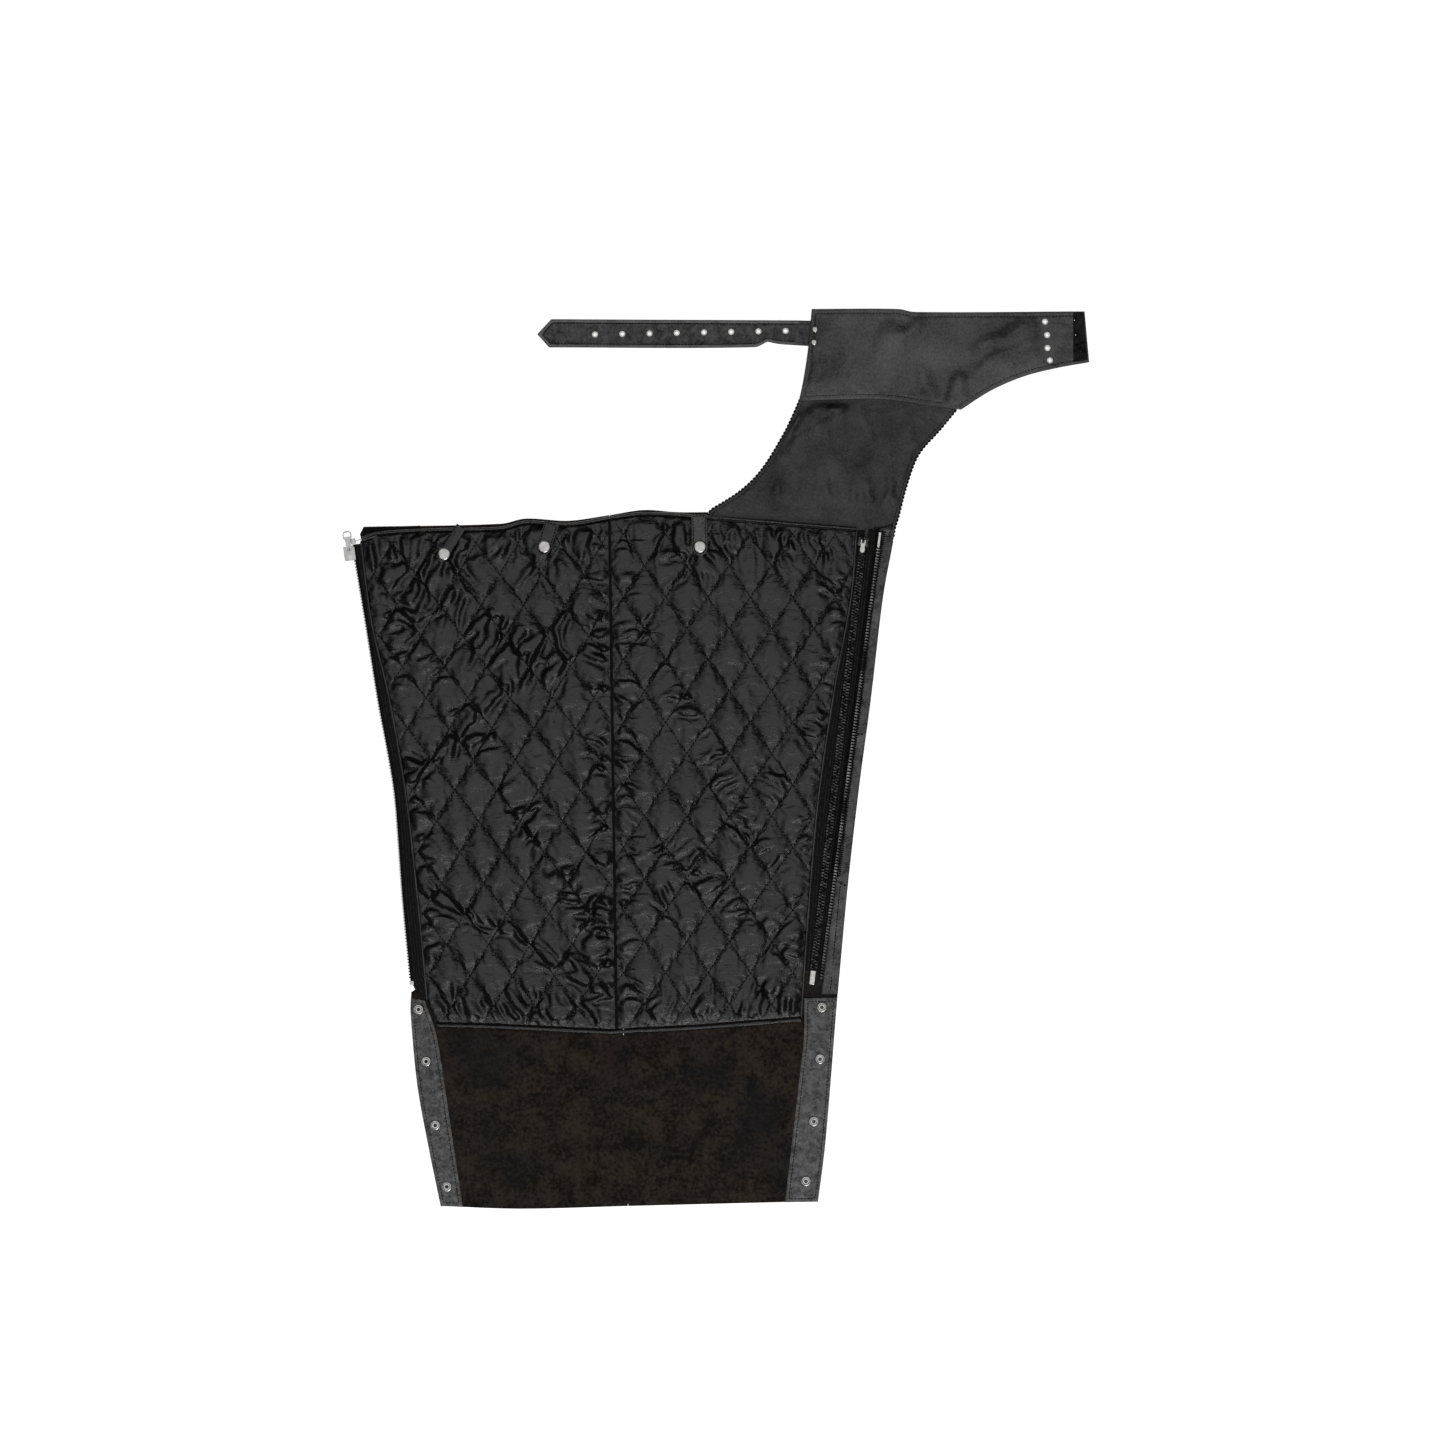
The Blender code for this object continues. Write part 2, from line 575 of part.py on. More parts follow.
def build_liner_zip(right):
    section = bar_section(LINER_CHAIN_HALF, INNER_CHAIN)
    length_run("liner_zip_chain", section, LINER_ZIP, "dark_metal", right)
    bottom = LINER_ZIP[1][1]
    tape = moved([*LINING_RIGHT[:-1], beyond(LINING_RIGHT, bottom)], TAPE_GAP)
    tape += [at_height(LINER_ZIP, y, LINER_TAPE_HALF) for y in (bottom, LINING_RIGHT[0][1])]
    slab("liner_zip_tape", tape, INNER_TAPE, "zip_tape", right)
    length = distance_to(LINER_ZIP, bottom)
    block("liner_zip_box", LINER_ZIP, (length + 0.5, length + 17.0), (-3.2, 3.2), METAL_END, "nickel", right)
    start = distance_to(LINER_ZIP, LINER_SLIDER[0])
    end = distance_to(LINER_ZIP, LINER_SLIDER[1])
    pin = start + PIN_BELOW_SLIDER_TOP
    (px, py), = in_line(LINER_ZIP, [(0.0, pin)])
    slider_body = make_body("slide_liner_zip", (px, py, 4.0), right)
    section = [
        (-6.0, 2.8), (-6.0, 7.0), (6.0, 7.0), (6.0, 2.8), (4.9, 2.8), (4.9, 5.8), (-4.9, 5.8), (-4.9, 2.8),
    ]
    line = tuple(in_line(LINER_ZIP, [(0, start), (0, end)]))
    slider = length_run("liner_zip_slider", section, line, "nickel", slider_body)
    add_post(slider, LINER_ZIP, (0.0, pin), 7.0, slider_body)
    pull_body = make_body("swing_liner_pull", (px, py, 8.2), slider_body)
    outline = [(2.9, -0.8), (2.9, 4.5), (2.2, 7.0), (3.0, 10.0), (2.6, 13.0), (1.2, 14.2)]
    zip_pull("liner_zip_pull", LINER_ZIP, pin, False, outline, pull_body)


def build_waist(root):
    middle = between(YOKE_FOLD, 0.5)
    waist = make_body("fold_yoke", (*middle, FOLD_HEIGHT), root)
    thigh = [*rounded(THIGH_LEFT), *THIGH_LAP, *rounded(THIGH_RIGHT)]
    slab("thigh_panel", thigh, SHELL, "grain_leather", waist)
    outline = [*YOKE_SEAM[:-1], *rounded(YOKE_CURVE), *YOKE_TOP, *YOKE_LEFT]
    yoke = slab("waist_yoke", outline, YOKE, "grain_leather", waist)
    punch(yoke, LACING_HOLES, STRAP_HOLE_RADIUS, waist)
    punch(yoke, RIVETS, RIVET_SHAFT + GAP, waist)
    slab("lacing_end_facing", END_FACING, (YOKE[1] + GAP, YOKE[1] + 1.5), "suede_side", waist)
    for place, centre in enumerate(LACING_HOLES, 1):
        eyelet(f"lacing_eyelet_{place}", centre, YOKE, waist)
    for place, centre in enumerate(RIVETS, 1):
        rivet(f"strap_rivet_{place}", centre, waist)
    build_strap(waist)


def build_strap(waist):
    strap_body = make_body("fold_strap", (*between(STRAP_FOLD, 0.5), STRAP[1] + GAP), waist)
    (x, y), (dx, dy) = FIRST_STRAP_HOLE, STRAP_HOLE_PITCH
    holes = [(x + dx * place, y + dy * place) for place in range(STRAP_HOLES)]
    strap = slab("belt_strap", STRAP_OUTLINE, STRAP, "grain_leather", strap_body)
    punch(strap, holes, STRAP_HOLE_RADIUS, strap_body)
    for place, centre in enumerate(holes, 1):
        eyelet(f"strap_eyelet_{place}", centre, STRAP, strap_body)


def build():
    clear_scene()
    right = make_body("right_half", (0, 0, 0))
    left = make_body("fold_leg", (*between(LEG_FOLD, 0.5), FOLD_HEIGHT), right)
    build_shells(left, right)
    build_lining(left, right)
    build_flaps(left, right)
    build_side_zip(left, right)
    build_liner_zip(right)
    for number, half in (("1", left), ("2", left), ("3", right)):
        snap_tab(number, half)
    build_waist(right)


build()
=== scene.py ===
import math
import random

import bmesh
import bpy
import numpy as np
from mathutils import Matrix, Vector, geometry, noise


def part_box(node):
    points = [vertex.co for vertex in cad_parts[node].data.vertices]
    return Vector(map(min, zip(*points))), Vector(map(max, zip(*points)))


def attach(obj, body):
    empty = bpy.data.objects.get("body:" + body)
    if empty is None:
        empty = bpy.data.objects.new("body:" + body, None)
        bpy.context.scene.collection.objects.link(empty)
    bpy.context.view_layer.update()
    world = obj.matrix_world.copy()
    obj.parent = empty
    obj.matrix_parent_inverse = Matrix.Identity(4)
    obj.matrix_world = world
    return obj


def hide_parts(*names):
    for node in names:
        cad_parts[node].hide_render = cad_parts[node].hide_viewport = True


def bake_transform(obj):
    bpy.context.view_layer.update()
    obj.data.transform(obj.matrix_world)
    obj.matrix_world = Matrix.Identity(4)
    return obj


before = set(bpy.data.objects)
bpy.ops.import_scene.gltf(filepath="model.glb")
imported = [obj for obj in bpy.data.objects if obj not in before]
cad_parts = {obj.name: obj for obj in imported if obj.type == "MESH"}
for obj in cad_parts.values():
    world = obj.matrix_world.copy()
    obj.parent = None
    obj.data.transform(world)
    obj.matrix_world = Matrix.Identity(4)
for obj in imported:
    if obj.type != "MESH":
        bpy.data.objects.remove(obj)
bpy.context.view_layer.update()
mm = 0.001


# Lines and outlines, in millimetres

def evenly(points, step):  # the same line with points a step apart
    points = np.asarray(points, float)
    along = np.concatenate([[0], np.cumsum(np.linalg.norm(np.diff(points, axis=0), axis=1))])
    count = max(2, int(round(along[-1] / step)) + 1)
    wanted = np.linspace(0, along[-1], count)
    return np.stack([np.interp(wanted, along, points[:, axis]) for axis in range(2)], axis=1)


def curveThrough(points, step=2.5):  # a smooth open line through the points
    points = [np.asarray(point, float) for point in points]
    ends = [points[0], *points, points[-1]]
    line = []
    for a, b, c, d in zip(ends, ends[1:], ends[2:], ends[3:]):
        before, length, after = math.dist(a, b), math.dist(b, c), math.dist(c, d)
        leave = (c - a) * length / (before + length)
        arrive = (d - b) * length / (length + after)
        for t in np.linspace(0, 1, 12, endpoint=False):
            square = 3 * (c - b) - 2 * leave - arrive
            cube = 2 * (b - c) + leave + arrive
            line.append(b + leave * t + square * t * t + cube * t ** 3)
    return evenly([*line, points[-1]], step)


def closedThrough(points, step=2.5, corner=28):  # a closed outline that stays sharp at its corners
    points = np.asarray(points, float)
    before = points - np.roll(points, 1, axis=0)
    after = np.roll(points, -1, axis=0) - points
    cross = before[:, 0] * after[:, 1] - before[:, 1] * after[:, 0]
    turn = np.degrees(np.abs(np.arctan2(cross, (before * after).sum(axis=1))))
    sharp = [place for place in range(len(points)) if turn[place] > corner]
    outline = []
    for first, last in zip(sharp, [*sharp[1:], sharp[0] + len(points)]):
        run = [points[place % len(points)] for place in range(first, last + 1)]
        outline.extend(curveThrough(run, step)[:-1])
    return np.array(outline)


def nodeOutline(node):  # the outer edge of a flat CAD node, seen from above
    bm = bmesh.new()
    bm.from_mesh(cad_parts[node].data)
    bmesh.ops.remove_doubles(bm, verts=bm.verts, dist=0.00002)
    bm.normal_update()
    floor = [face for face in bm.faces if face.normal.z < -0.9]
    steps = {}
    for face in floor:
        for loop in face.loops:
            others = [other for other in loop.edge.link_faces if other is not face and other.normal.z < -0.9]
            if not others:
                steps[loop.vert.index] = loop.link_loop_next.vert.index
    places = {vert.index: (vert.co.x / mm, vert.co.y / mm) for vert in bm.verts}
    bm.free()
    loops = []
    while steps:
        first, at = steps.popitem()
        loop = [first]
        while at != first:
            loop.append(at)
            at = steps.pop(at)
        loops.append([places[index] for index in loop])
    longest = max(loops, key=lambda loop: np.ptp(np.array(loop), axis=0).sum())
    return [point for point, ahead in zip(longest, longest[1:] + longest[:1]) if math.dist(point, ahead) > 0.05]


def signedArea(outline):
    x, y = np.asarray(outline, float).T
    return 0.5 * float((x * np.roll(y, -1) - y * np.roll(x, -1)).sum())


def toLine(points, line, closed=False):  # distance of each point to a line, and how far along it that is
    line = np.asarray(line, float)
    if closed:
        line = np.vstack([line, line[:1]])
    best = np.full(len(points), 1e9)
    place = np.zeros(len(points))
    start = 0.0
    for a, b in zip(line, line[1:]):
        run = b - a
        length = max(float(np.hypot(*run)), 1e-9)
        share = np.clip(((points - a) @ run) / length ** 2, 0, 1)
        away = np.hypot(*(points - a - share[:, None] * run).T)
        closer = away < best
        best[closer] = away[closer]
        place[closer] = start + share[closer] * length
        start += length
    return best, place


def ripple(points, size, seed=0.0):  # soft unevenness from -1 to 1, with lumps of about this size
    return np.array([noise.noise(Vector((x / size + seed, y / size - seed, seed))) for x, y in points]) * 1.7


def within(value, low, high):  # rises smoothly from 0 at low to 1 at high
    share = np.clip((value - low) / (high - low), 0, 1)
    return share * share * (3 - 2 * share)


def linked(name, data):  # a new object in the scene
    piece = bpy.data.objects.new(name, data)
    bpy.context.scene.collection.objects.link(piece)
    return piece


# Materials

def put(tree, kind, inputs=None, **settings):
    made = tree.nodes.new("ShaderNode" + kind)
    for key, value in settings.items():
        setattr(made, key, value)
    for socket, value in (inputs or {}).items():
        if isinstance(value, bpy.types.NodeSocket):
            tree.links.new(value, made.inputs[socket])
        else:
            made.inputs[socket].default_value = value
    return made


def reckon(tree, operation, first, second=0.0, clamp=False):
    return put(tree, "Math", {0: first, 1: second}, operation=operation, use_clamp=clamp).outputs[0]


def blendOf(tree, share, first, second):
    mix = put(tree, "Mix", None, data_type="RGBA")
    tree.links.new(share, mix.inputs[0])
    for socket, value in ((mix.inputs[6], first), (mix.inputs[7], second)):
        if isinstance(value, bpy.types.NodeSocket):
            tree.links.new(value, socket)
        else:
            socket.default_value = (*value, 1.0)
    return mix.outputs[2]


def spread(tree, value, low, high, toLow=0.0, toHigh=1.0):
    fields = {"Value": value, "From Min": low, "From Max": high, "To Min": toLow, "To Max": toHigh}
    return put(tree, "MapRange", fields, clamp=True).outputs[0]


def newGroup(name, inputs, outputs):
    group = bpy.data.node_groups.new(name, "ShaderNodeTree")
    for label, kind, value in inputs:
        socket = group.interface.new_socket(name=label, in_out="INPUT", socket_type="NodeSocket" + kind)
        if value is not None:
            socket.default_value = value
    for label in outputs:
        group.interface.new_socket(name=label, in_out="OUTPUT", socket_type="NodeSocketFloat")
    return group, group.nodes.new("NodeGroupInput").outputs, group.nodes.new("NodeGroupOutput").inputs


def useGroup(tree, group, inputs):
    made = put(tree, "Group", None, node_tree=group)
    for socket, value in inputs.items():
        if isinstance(value, bpy.types.NodeSocket):
            tree.links.new(value, made.inputs[socket])
        else:
            made.inputs[socket].default_value = value
    return made.outputs


def makeGrainGroup():  # leather's pebbles, pores and uneven dye
    group, given, out = newGroup(
        "leatherGrain",
        [("Place", "Vector", None), ("Pebble", "Float", 500.0), ("Lump", "Float", 30.0)],
        ["Height", "Mottle", "Patch"],
    )
    pebbles = put(group, "TexVoronoi", {"Vector": given["Place"], "Scale": given["Pebble"]},
                  feature="DISTANCE_TO_EDGE").outputs["Distance"]
    poreScale = reckon(group, "MULTIPLY", given["Pebble"], 1.6)
    pores = put(group, "TexNoise", {"Vector": given["Place"], "Scale": poreScale, "Detail": 3.0}).outputs["Fac"]
    ridge = spread(group, pebbles, 0.0, 0.22)
    height = reckon(group, "ADD", reckon(group, "MULTIPLY", ridge, 0.6), reckon(group, "MULTIPLY", pores, 0.5))
    mottle = put(group, "TexNoise", {"Vector": given["Place"], "Scale": given["Lump"], "Detail": 5.0,
                                     "Roughness": 0.6, "Distortion": 0.4}).outputs["Fac"]
    patchScale = reckon(group, "MULTIPLY", given["Lump"], 0.27)
    patch = put(group, "TexNoise", {"Vector": given["Place"], "Scale": patchScale, "Detail": 3.0}).outputs["Fac"]
    for label, value in (("Height", height), ("Mottle", mottle), ("Patch", patch)):
        group.links.new(value, out[label])
    return group


def makeCreaseGroup():  # fine wrinkles that run mostly one way
    group, given, out = newGroup(
        "creases", [("Place", "Vector", None), ("Size", "Float", 40.0), ("Width", "Float", 0.03)], ["Crease"],
    )
    warped = put(group, "TexNoise", {"Vector": given["Place"], "Scale": given["Size"], "Detail": 4.0,
                                     "Distortion": 0.8}).outputs["Fac"]
    away = reckon(group, "ABSOLUTE", reckon(group, "SUBTRACT", warped, 0.5))
    line = put(group, "MapRange", {"Value": away, "From Min": 0.0, "From Max": given["Width"], "To Min": 1.0,
                                   "To Max": 0.0}, clamp=True, interpolation_type="SMOOTHSTEP").outputs[0]
    group.links.new(line, out["Crease"])
    return group


def makeWeaveGroup():  # threads over and under, along the piece's own map
    group, given, out = newGroup(
        "weave", [("Place", "Vector", None), ("Threads", "Float", 2000.0)], ["Height", "Fleck"],
    )
    where = {"Vector": given["Place"], "Scale": given["Threads"]}
    waves = [put(group, "TexWave", where, bands_direction=way).outputs["Fac"] for way in ("X", "Y")]
    fleckScale = reckon(group, "MULTIPLY", given["Threads"], 0.3)
    fleck = put(group, "TexNoise", {"Vector": given["Place"], "Scale": fleckScale, "Detail": 2.0}).outputs["Fac"]
    group.links.new(reckon(group, "MAXIMUM", *waves), out["Height"])
    group.links.new(fleck, out["Fleck"])
    return group


grainGroup = makeGrainGroup()
creaseGroup = makeCreaseGroup()
weaveGroup = makeWeaveGroup()


def newMaterial(name, roughness, metallic=0.0, specular=0.5):  # with its nodes, its skin and its own place
    material = bpy.data.materials.new(name)
    material.use_nodes = True
    tree = material.node_tree
    skin = tree.nodes["Principled BSDF"]
    for socket, value in (("Roughness", roughness), ("Metallic", metallic), ("Specular IOR Level", specular)):
        skin.inputs[socket].default_value = value
    place = put(tree, "TexCoord").outputs["Object"]
    return material, tree, skin, place


def setBump(tree, skin, height, distance, strength=1.0, under=None):
    inputs = {"Height": height, "Distance": distance, "Strength": strength}
    if under is not None:
        inputs["Normal"] = under
    bump = put(tree, "Bump", inputs).outputs["Normal"]
    tree.links.new(bump, skin.inputs["Normal"])
    return bump


def makeLeather(name, look):
    material, tree, skin, place = newMaterial(name, look["roughness"], specular=look["specular"])
    grain = useGroup(tree, grainGroup, {"Place": place, "Pebble": look["pebble"], "Lump": look["lump"]})
    stretch = put(tree, "Mapping", {"Vector": place, "Rotation": (0, 0, look["turn"]),
                                    "Scale": (1.0, look["long"], 1.0)}).outputs[0]
    creaseShade = useGroup(tree, creaseGroup, {"Place": stretch, "Size": look["creaseSize"], "Width": 0.02})["Crease"]
    share = spread(tree, grain["Mottle"], 0.3, 0.7)
    fine = put(tree, "TexNoise", {"Vector": place, "Scale": look["fine"], "Detail": 2.0}).outputs["Fac"]
    speckle = reckon(tree, "MULTIPLY", reckon(tree, "SUBTRACT", fine, 0.5), look["fineShare"])
    share = reckon(tree, "ADD", share, speckle, True)
    colour = blendOf(tree, share, look["dark"], look["light"])
    worn = reckon(tree, "MULTIPLY", spread(tree, grain["Patch"], 0.5, 0.72), look["patchShare"])
    colour = blendOf(tree, worn, colour, look["patch"])
    # painted shade: the fine crease lines are darkened towards the creaseShade colour, as shade in the wrinkles;
    # creaseShare sets how much, and also how deep the same lines dent the bump
    colour = blendOf(tree, reckon(tree, "MULTIPLY", creaseShade, look["creaseShare"]), colour, look["creaseShade"])
    tree.links.new(colour, skin.inputs["Base Color"])
    rough = reckon(tree, "ADD", reckon(tree, "MULTIPLY", grain["Mottle"], 0.25), look["roughness"] - 0.12)
    tree.links.new(rough, skin.inputs["Roughness"])
    dent = reckon(tree, "MULTIPLY", creaseShade, look["creaseShare"])
    wide = setBump(tree, skin, reckon(tree, "SUBTRACT", grain["Mottle"], dent), look["waveDepth"], 0.6)
    setBump(tree, skin, grain["Height"], look["depth"], 0.7, wide)
    return material


def makeSatin(name, look):  # close, shiny cloth with small puckers between the modelled folds
    material, tree, skin, place = newMaterial(name, look["roughness"], specular=look["specular"])
    weave = useGroup(tree, weaveGroup, {"Place": place, "Threads": look["threads"]})
    cloud = put(tree, "TexNoise", {"Vector": place, "Scale": 45.0, "Detail": 4.0}).outputs["Fac"]
    colour = blendOf(tree, spread(tree, cloud, 0.35, 0.7), look["dark"], look["light"])
    tree.links.new(colour, skin.inputs["Base Color"])
    stretch = put(tree, "Mapping", {"Vector": place, "Rotation": (0, 0, 0.35), "Scale": (1.0, 2.1, 1.0)}).outputs[0]
    pucker = put(tree, "TexNoise", {"Vector": stretch, "Scale": look["pucker"], "Detail": 3.0,
                                    "Distortion": 1.2}).outputs["Fac"]
    wide = setBump(tree, skin, pucker, look["puckerDepth"], 1.0)
    setBump(tree, skin, reckon(tree, "ADD", weave["Height"], weave["Fleck"]), look["depth"], 0.3, wide)
    rough = reckon(tree, "ADD", reckon(tree, "MULTIPLY", weave["Fleck"], 0.2), look["roughness"] - 0.1)
    tree.links.new(rough, skin.inputs["Roughness"])
    return material


def makeTape(name, look):  # woven zip tape: ribs along it, from its own map
    material, tree, skin, _ = newMaterial(name, look["roughness"], specular=0.15)
    ownMap = put(tree, "UVMap", None, uv_map="along").outputs["UV"]
    ribs = put(tree, "TexWave", {"Vector": ownMap, "Scale": look["ribs"]}, bands_direction="Y").outputs["Fac"]
    weave = useGroup(tree, weaveGroup, {"Place": ownMap, "Threads": 900.0})
    share = reckon(tree, "MULTIPLY", ribs, spread(tree, weave["Fleck"], 0.3, 0.8))
    tree.links.new(blendOf(tree, share, look["dark"], look["light"]), skin.inputs["Base Color"])
    wide = setBump(tree, skin, ribs, look["ribDepth"], 1.0)
    setBump(tree, skin, weave["Height"], 0.0001, 0.6, wide)
    return material


def makeMetal(name, look):
    material, tree, skin, place = newMaterial(name, look["roughness"], metallic=1.0)
    wear = put(tree, "TexNoise", {"Vector": place, "Scale": look["wear"], "Detail": 4.0}).outputs["Fac"]
    tree.links.new(blendOf(tree, spread(tree, wear, 0.4, 0.65), look["dark"], look["light"]), skin.inputs["Base Color"])
    rough = reckon(tree, "ADD", reckon(tree, "MULTIPLY", wear, 0.25), look["roughness"] - 0.1)
    tree.links.new(rough, skin.inputs["Roughness"])
    setBump(tree, skin, wear, 0.00008, 0.4)
    return material


def makeThread(name, look):
    material, tree, skin, place = newMaterial(name, 0.8, specular=0.1)
    twist = put(tree, "TexWave", {"Vector": place, "Scale": 900.0, "Distortion": 1.0}, bands_direction="DIAGONAL")
    tree.links.new(blendOf(tree, twist.outputs["Fac"], look["dark"], look["light"]), skin.inputs["Base Color"])
    setBump(tree, skin, twist.outputs["Fac"], 0.0001, 0.6)
    return material


black = dict(roughness=0.5, specular=0.4, fine=420.0, fineShare=1.2, pebble=620.0, lump=38.0, turn=0.5, long=0.35,
             creaseSize=16.0, creaseShare=0.3, patchShare=0.3, depth=0.00018, waveDepth=0.0012,
             dark=(0.018, 0.018, 0.019), light=(0.04, 0.04, 0.041), patch=(0.05, 0.05, 0.052),
             # creaseShade is the colour of the painted shade in the fine wrinkles
             creaseShade=(0.008, 0.008, 0.008))
materials = {
    "yokeLeather": makeLeather("yokeLeather", {**black, "lump": 13.0, "roughness": 0.4, "specular": 0.42,
                                               "dark": (0.006, 0.006, 0.0065), "light": (0.1, 0.1, 0.103),
                                               "waveDepth": 0.009, "creaseShare": 0.0, "patchShare": 0.0}),
    "thighLeather": makeLeather("thighLeather", {**black, "lump": 24.0, "roughness": 0.42, "specular": 0.36,
                                                 "dark": (0.001, 0.001, 0.001), "light": (0.05, 0.05, 0.05),
                                                 "turn": 0.1, "long": 0.6, "waveDepth": 0.009,
                                                 "creaseShare": 0.0, "patchShare": 0.0}),
    "strapLeather": makeLeather("strapLeather", {**black, "lump": 110.0, "roughness": 0.6, "depth": 0.0003,
                                                 "dark": (0.006, 0.006, 0.006), "light": (0.1, 0.1, 0.102)}),
    # strapEdge is a lighter copy of the strap leather: painted highlight along the rounded top of the strap's edge
    "strapEdge": makeLeather("strapEdge", {**black, "lump": 90.0, "dark": (0.09, 0.09, 0.092),
                                           "light": (0.17, 0.17, 0.172)}),
    "facingLeather": makeLeather("facingLeather", {**black, "pebble": 330.0, "lump": 62.0, "depth": 0.0004,
                                                   "dark": (0.004, 0.004, 0.0045), "light": (0.13, 0.13, 0.134),
                                                   "roughness": 0.55, "creaseShare": 0.12}),
    "flapLeather": makeLeather("flapLeather", {**black, "pebble": 330.0, "lump": 150.0, "depth": 0.0004,
                                               "dark": (0.02, 0.02, 0.021), "light": (0.16, 0.16, 0.164),
                                               "roughness": 0.6, "creaseShare": 0.12, "patchShare": 0.15}),
    "grainSide": makeLeather("grainSide", {**black, "pebble": 420.0, "depth": 0.0003, "roughness": 0.42}),
    "suede": makeLeather("suede", {**black, "pebble": 1400.0, "lump": 34.0, "roughness": 0.95, "specular": 0.06,
                                   "dark": (0.013, 0.0105, 0.009), "light": (0.052, 0.039, 0.0295),
                                   "patch": (0.017, 0.017, 0.0205), "patchShare": 0.8, "depth": 0.0009,
                                   "fine": 260.0, "fineShare": 2.6, "creaseShare": 0.0}),
    "hookTape": makeLeather("hookTape", {**black, "pebble": 480.0, "lump": 160.0, "roughness": 0.9, "specular": 0.1,
                                         "dark": (0.001, 0.001, 0.001), "light": (0.03, 0.03, 0.03),
                                         "depth": 0.0016}),
    "satin": makeSatin("satin", dict(roughness=0.29, specular=0.5, threads=1500.0, depth=0.00008, pucker=60.0,
                                     puckerDepth=0.0013, dark=(0.002, 0.002, 0.0022),
                                     light=(0.007, 0.007, 0.0073))),
    "piping": makeSatin("piping", dict(roughness=0.36, specular=0.6, threads=1500.0, depth=0.00008, pucker=160.0,
                                       puckerDepth=0.0006, dark=(0.02, 0.02, 0.021), light=(0.06, 0.06, 0.062))),
    "tape": makeTape("tape", dict(roughness=0.8, ribs=95.0, ribDepth=0.0006, dark=(0.004, 0.004, 0.004),
                                  light=(0.03, 0.03, 0.03))),
    "nickel": makeMetal("nickel", dict(roughness=0.24, wear=180.0, dark=(0.42, 0.415, 0.4),
                                       light=(0.6, 0.59, 0.57))),
    "gunmetal": makeMetal("gunmetal", dict(roughness=0.34, wear=260.0, dark=(0.008, 0.008, 0.008),
                                           light=(0.1, 0.1, 0.102))),
    "blackTeeth": makeMetal("blackTeeth", dict(roughness=0.6, wear=260.0, dark=(0.004, 0.004, 0.004),
                                               light=(0.02, 0.02, 0.02))),
    "steelTeeth": makeMetal("steelTeeth", dict(roughness=0.3, wear=22.0, dark=(0.015, 0.015, 0.015),
                                               light=(0.24, 0.24, 0.24))),
    "blackThread": makeThread("blackThread", dict(dark=(0.002, 0.002, 0.002), light=(0.008, 0.008, 0.008))),
    "greyThread": makeThread("greyThread", dict(dark=(0.01, 0.01, 0.01), light=(0.05, 0.05, 0.05))),
}
print("materials made")


# Sheets of leather and cloth

def fromBmesh(bm, name):
    mesh = bpy.data.meshes.new(name)
    bm.to_mesh(mesh)
    bm.free()
    return linked(name, mesh)


def isInside(points, outline):
    x, y = points.T
    found = np.zeros(len(points), bool)
    for (ax, ay), (bx, by) in zip(outline, np.roll(outline, -1, axis=0)):
        if ay == by:
            continue
        found ^= ((ay > y) != (by > y)) & (x < (bx - ax) * (y - ay) / (by - ay) + ax)
    return found


def gridOver(outline, cell):  # staggered rows of points
    (left, low), (right, high) = np.min(outline, axis=0), np.max(outline, axis=0)
    rows = np.arange(low, high, cell * 0.87)
    columns = np.arange(left, right, cell)
    return np.array([(x + cell / 2 * (row % 2), y) for row, y in enumerate(rows) for x in columns])


def cutSheet(name, outline, rings=(), cell=4.0, spots=None):  # a flat sheet, with rows of points beside its edge
    outline = np.asarray(outline, float)
    outline = outline if signedArea(outline) > 0 else outline[::-1]
    loops = [outline]
    for count in range(len(rings)):
        loops.append(inset(outline, sum(rings[:count + 1]))[:-1])
    spots = gridOver(outline, cell) if spots is None else spots
    spots = spots[isInside(spots, outline)]
    away, _ = toLine(spots, outline, closed=True)
    spots = spots[away > sum(rings) + cell * 0.45]
    places, edges = [], []
    for loop in loops:
        base = len(places)
        places += [tuple(place) for place in loop]
        edges += [(base + at, base + (at + 1) % len(loop)) for at in range(len(loop))]
    places += [tuple(place) for place in spots]
    made = geometry.delaunay_2d_cdt([Vector(place) for place in places], edges, [], 1, 0.01)
    mesh = bpy.data.meshes.new(name)
    mesh.from_pydata([(place.x, place.y, 0) for place in made[0]], [], made[2])
    return linked(name, mesh)


def flatPlaces(piece):  # the x and y of its points
    places = np.empty(len(piece.data.vertices) * 3)
    piece.data.vertices.foreach_get("co", places)
    return places.reshape(-1, 3)[:, :2]


def setPlaces(piece, flat, heights):  # millimetres in, metres on the mesh
    places = np.column_stack([flat, heights]) * mm
    piece.data.vertices.foreach_set("co", places.ravel())
    piece.data.update()


def solidify(piece, thickness):
    step = piece.modifiers.new("thickness", "SOLIDIFY")
    step.thickness = thickness * mm
    step.offset = -1
    applyAll(piece)


def applyAll(piece):
    bpy.ops.object.select_all(action="DESELECT")
    piece.select_set(True)
    bpy.context.view_layer.objects.active = piece
    for step in list(piece.modifiers):
        bpy.ops.object.modifier_apply(modifier=step.name)
    bpy.ops.object.shade_smooth_by_angle(angle=math.radians(50))
    piece.select_set(False)


def dress(piece, *names):
    for name in names:
        piece.data.materials.append(materials[name])
    return piece


def undersideTo(piece, slotNumber):  # the faces that look down, and the edges, take another material
    for face in piece.data.polygons:
        if face.normal.z < 0.35:
            face.material_index = slotNumber


def declareSheet(outline):  # turns the outline into an array, and keeps nothing
    outline = np.asarray(outline, float)


hem = dict(groove=0.45, grooveWidth=0.7, drop=0.7, edge=0.9, fade=(0.8, 2.6))


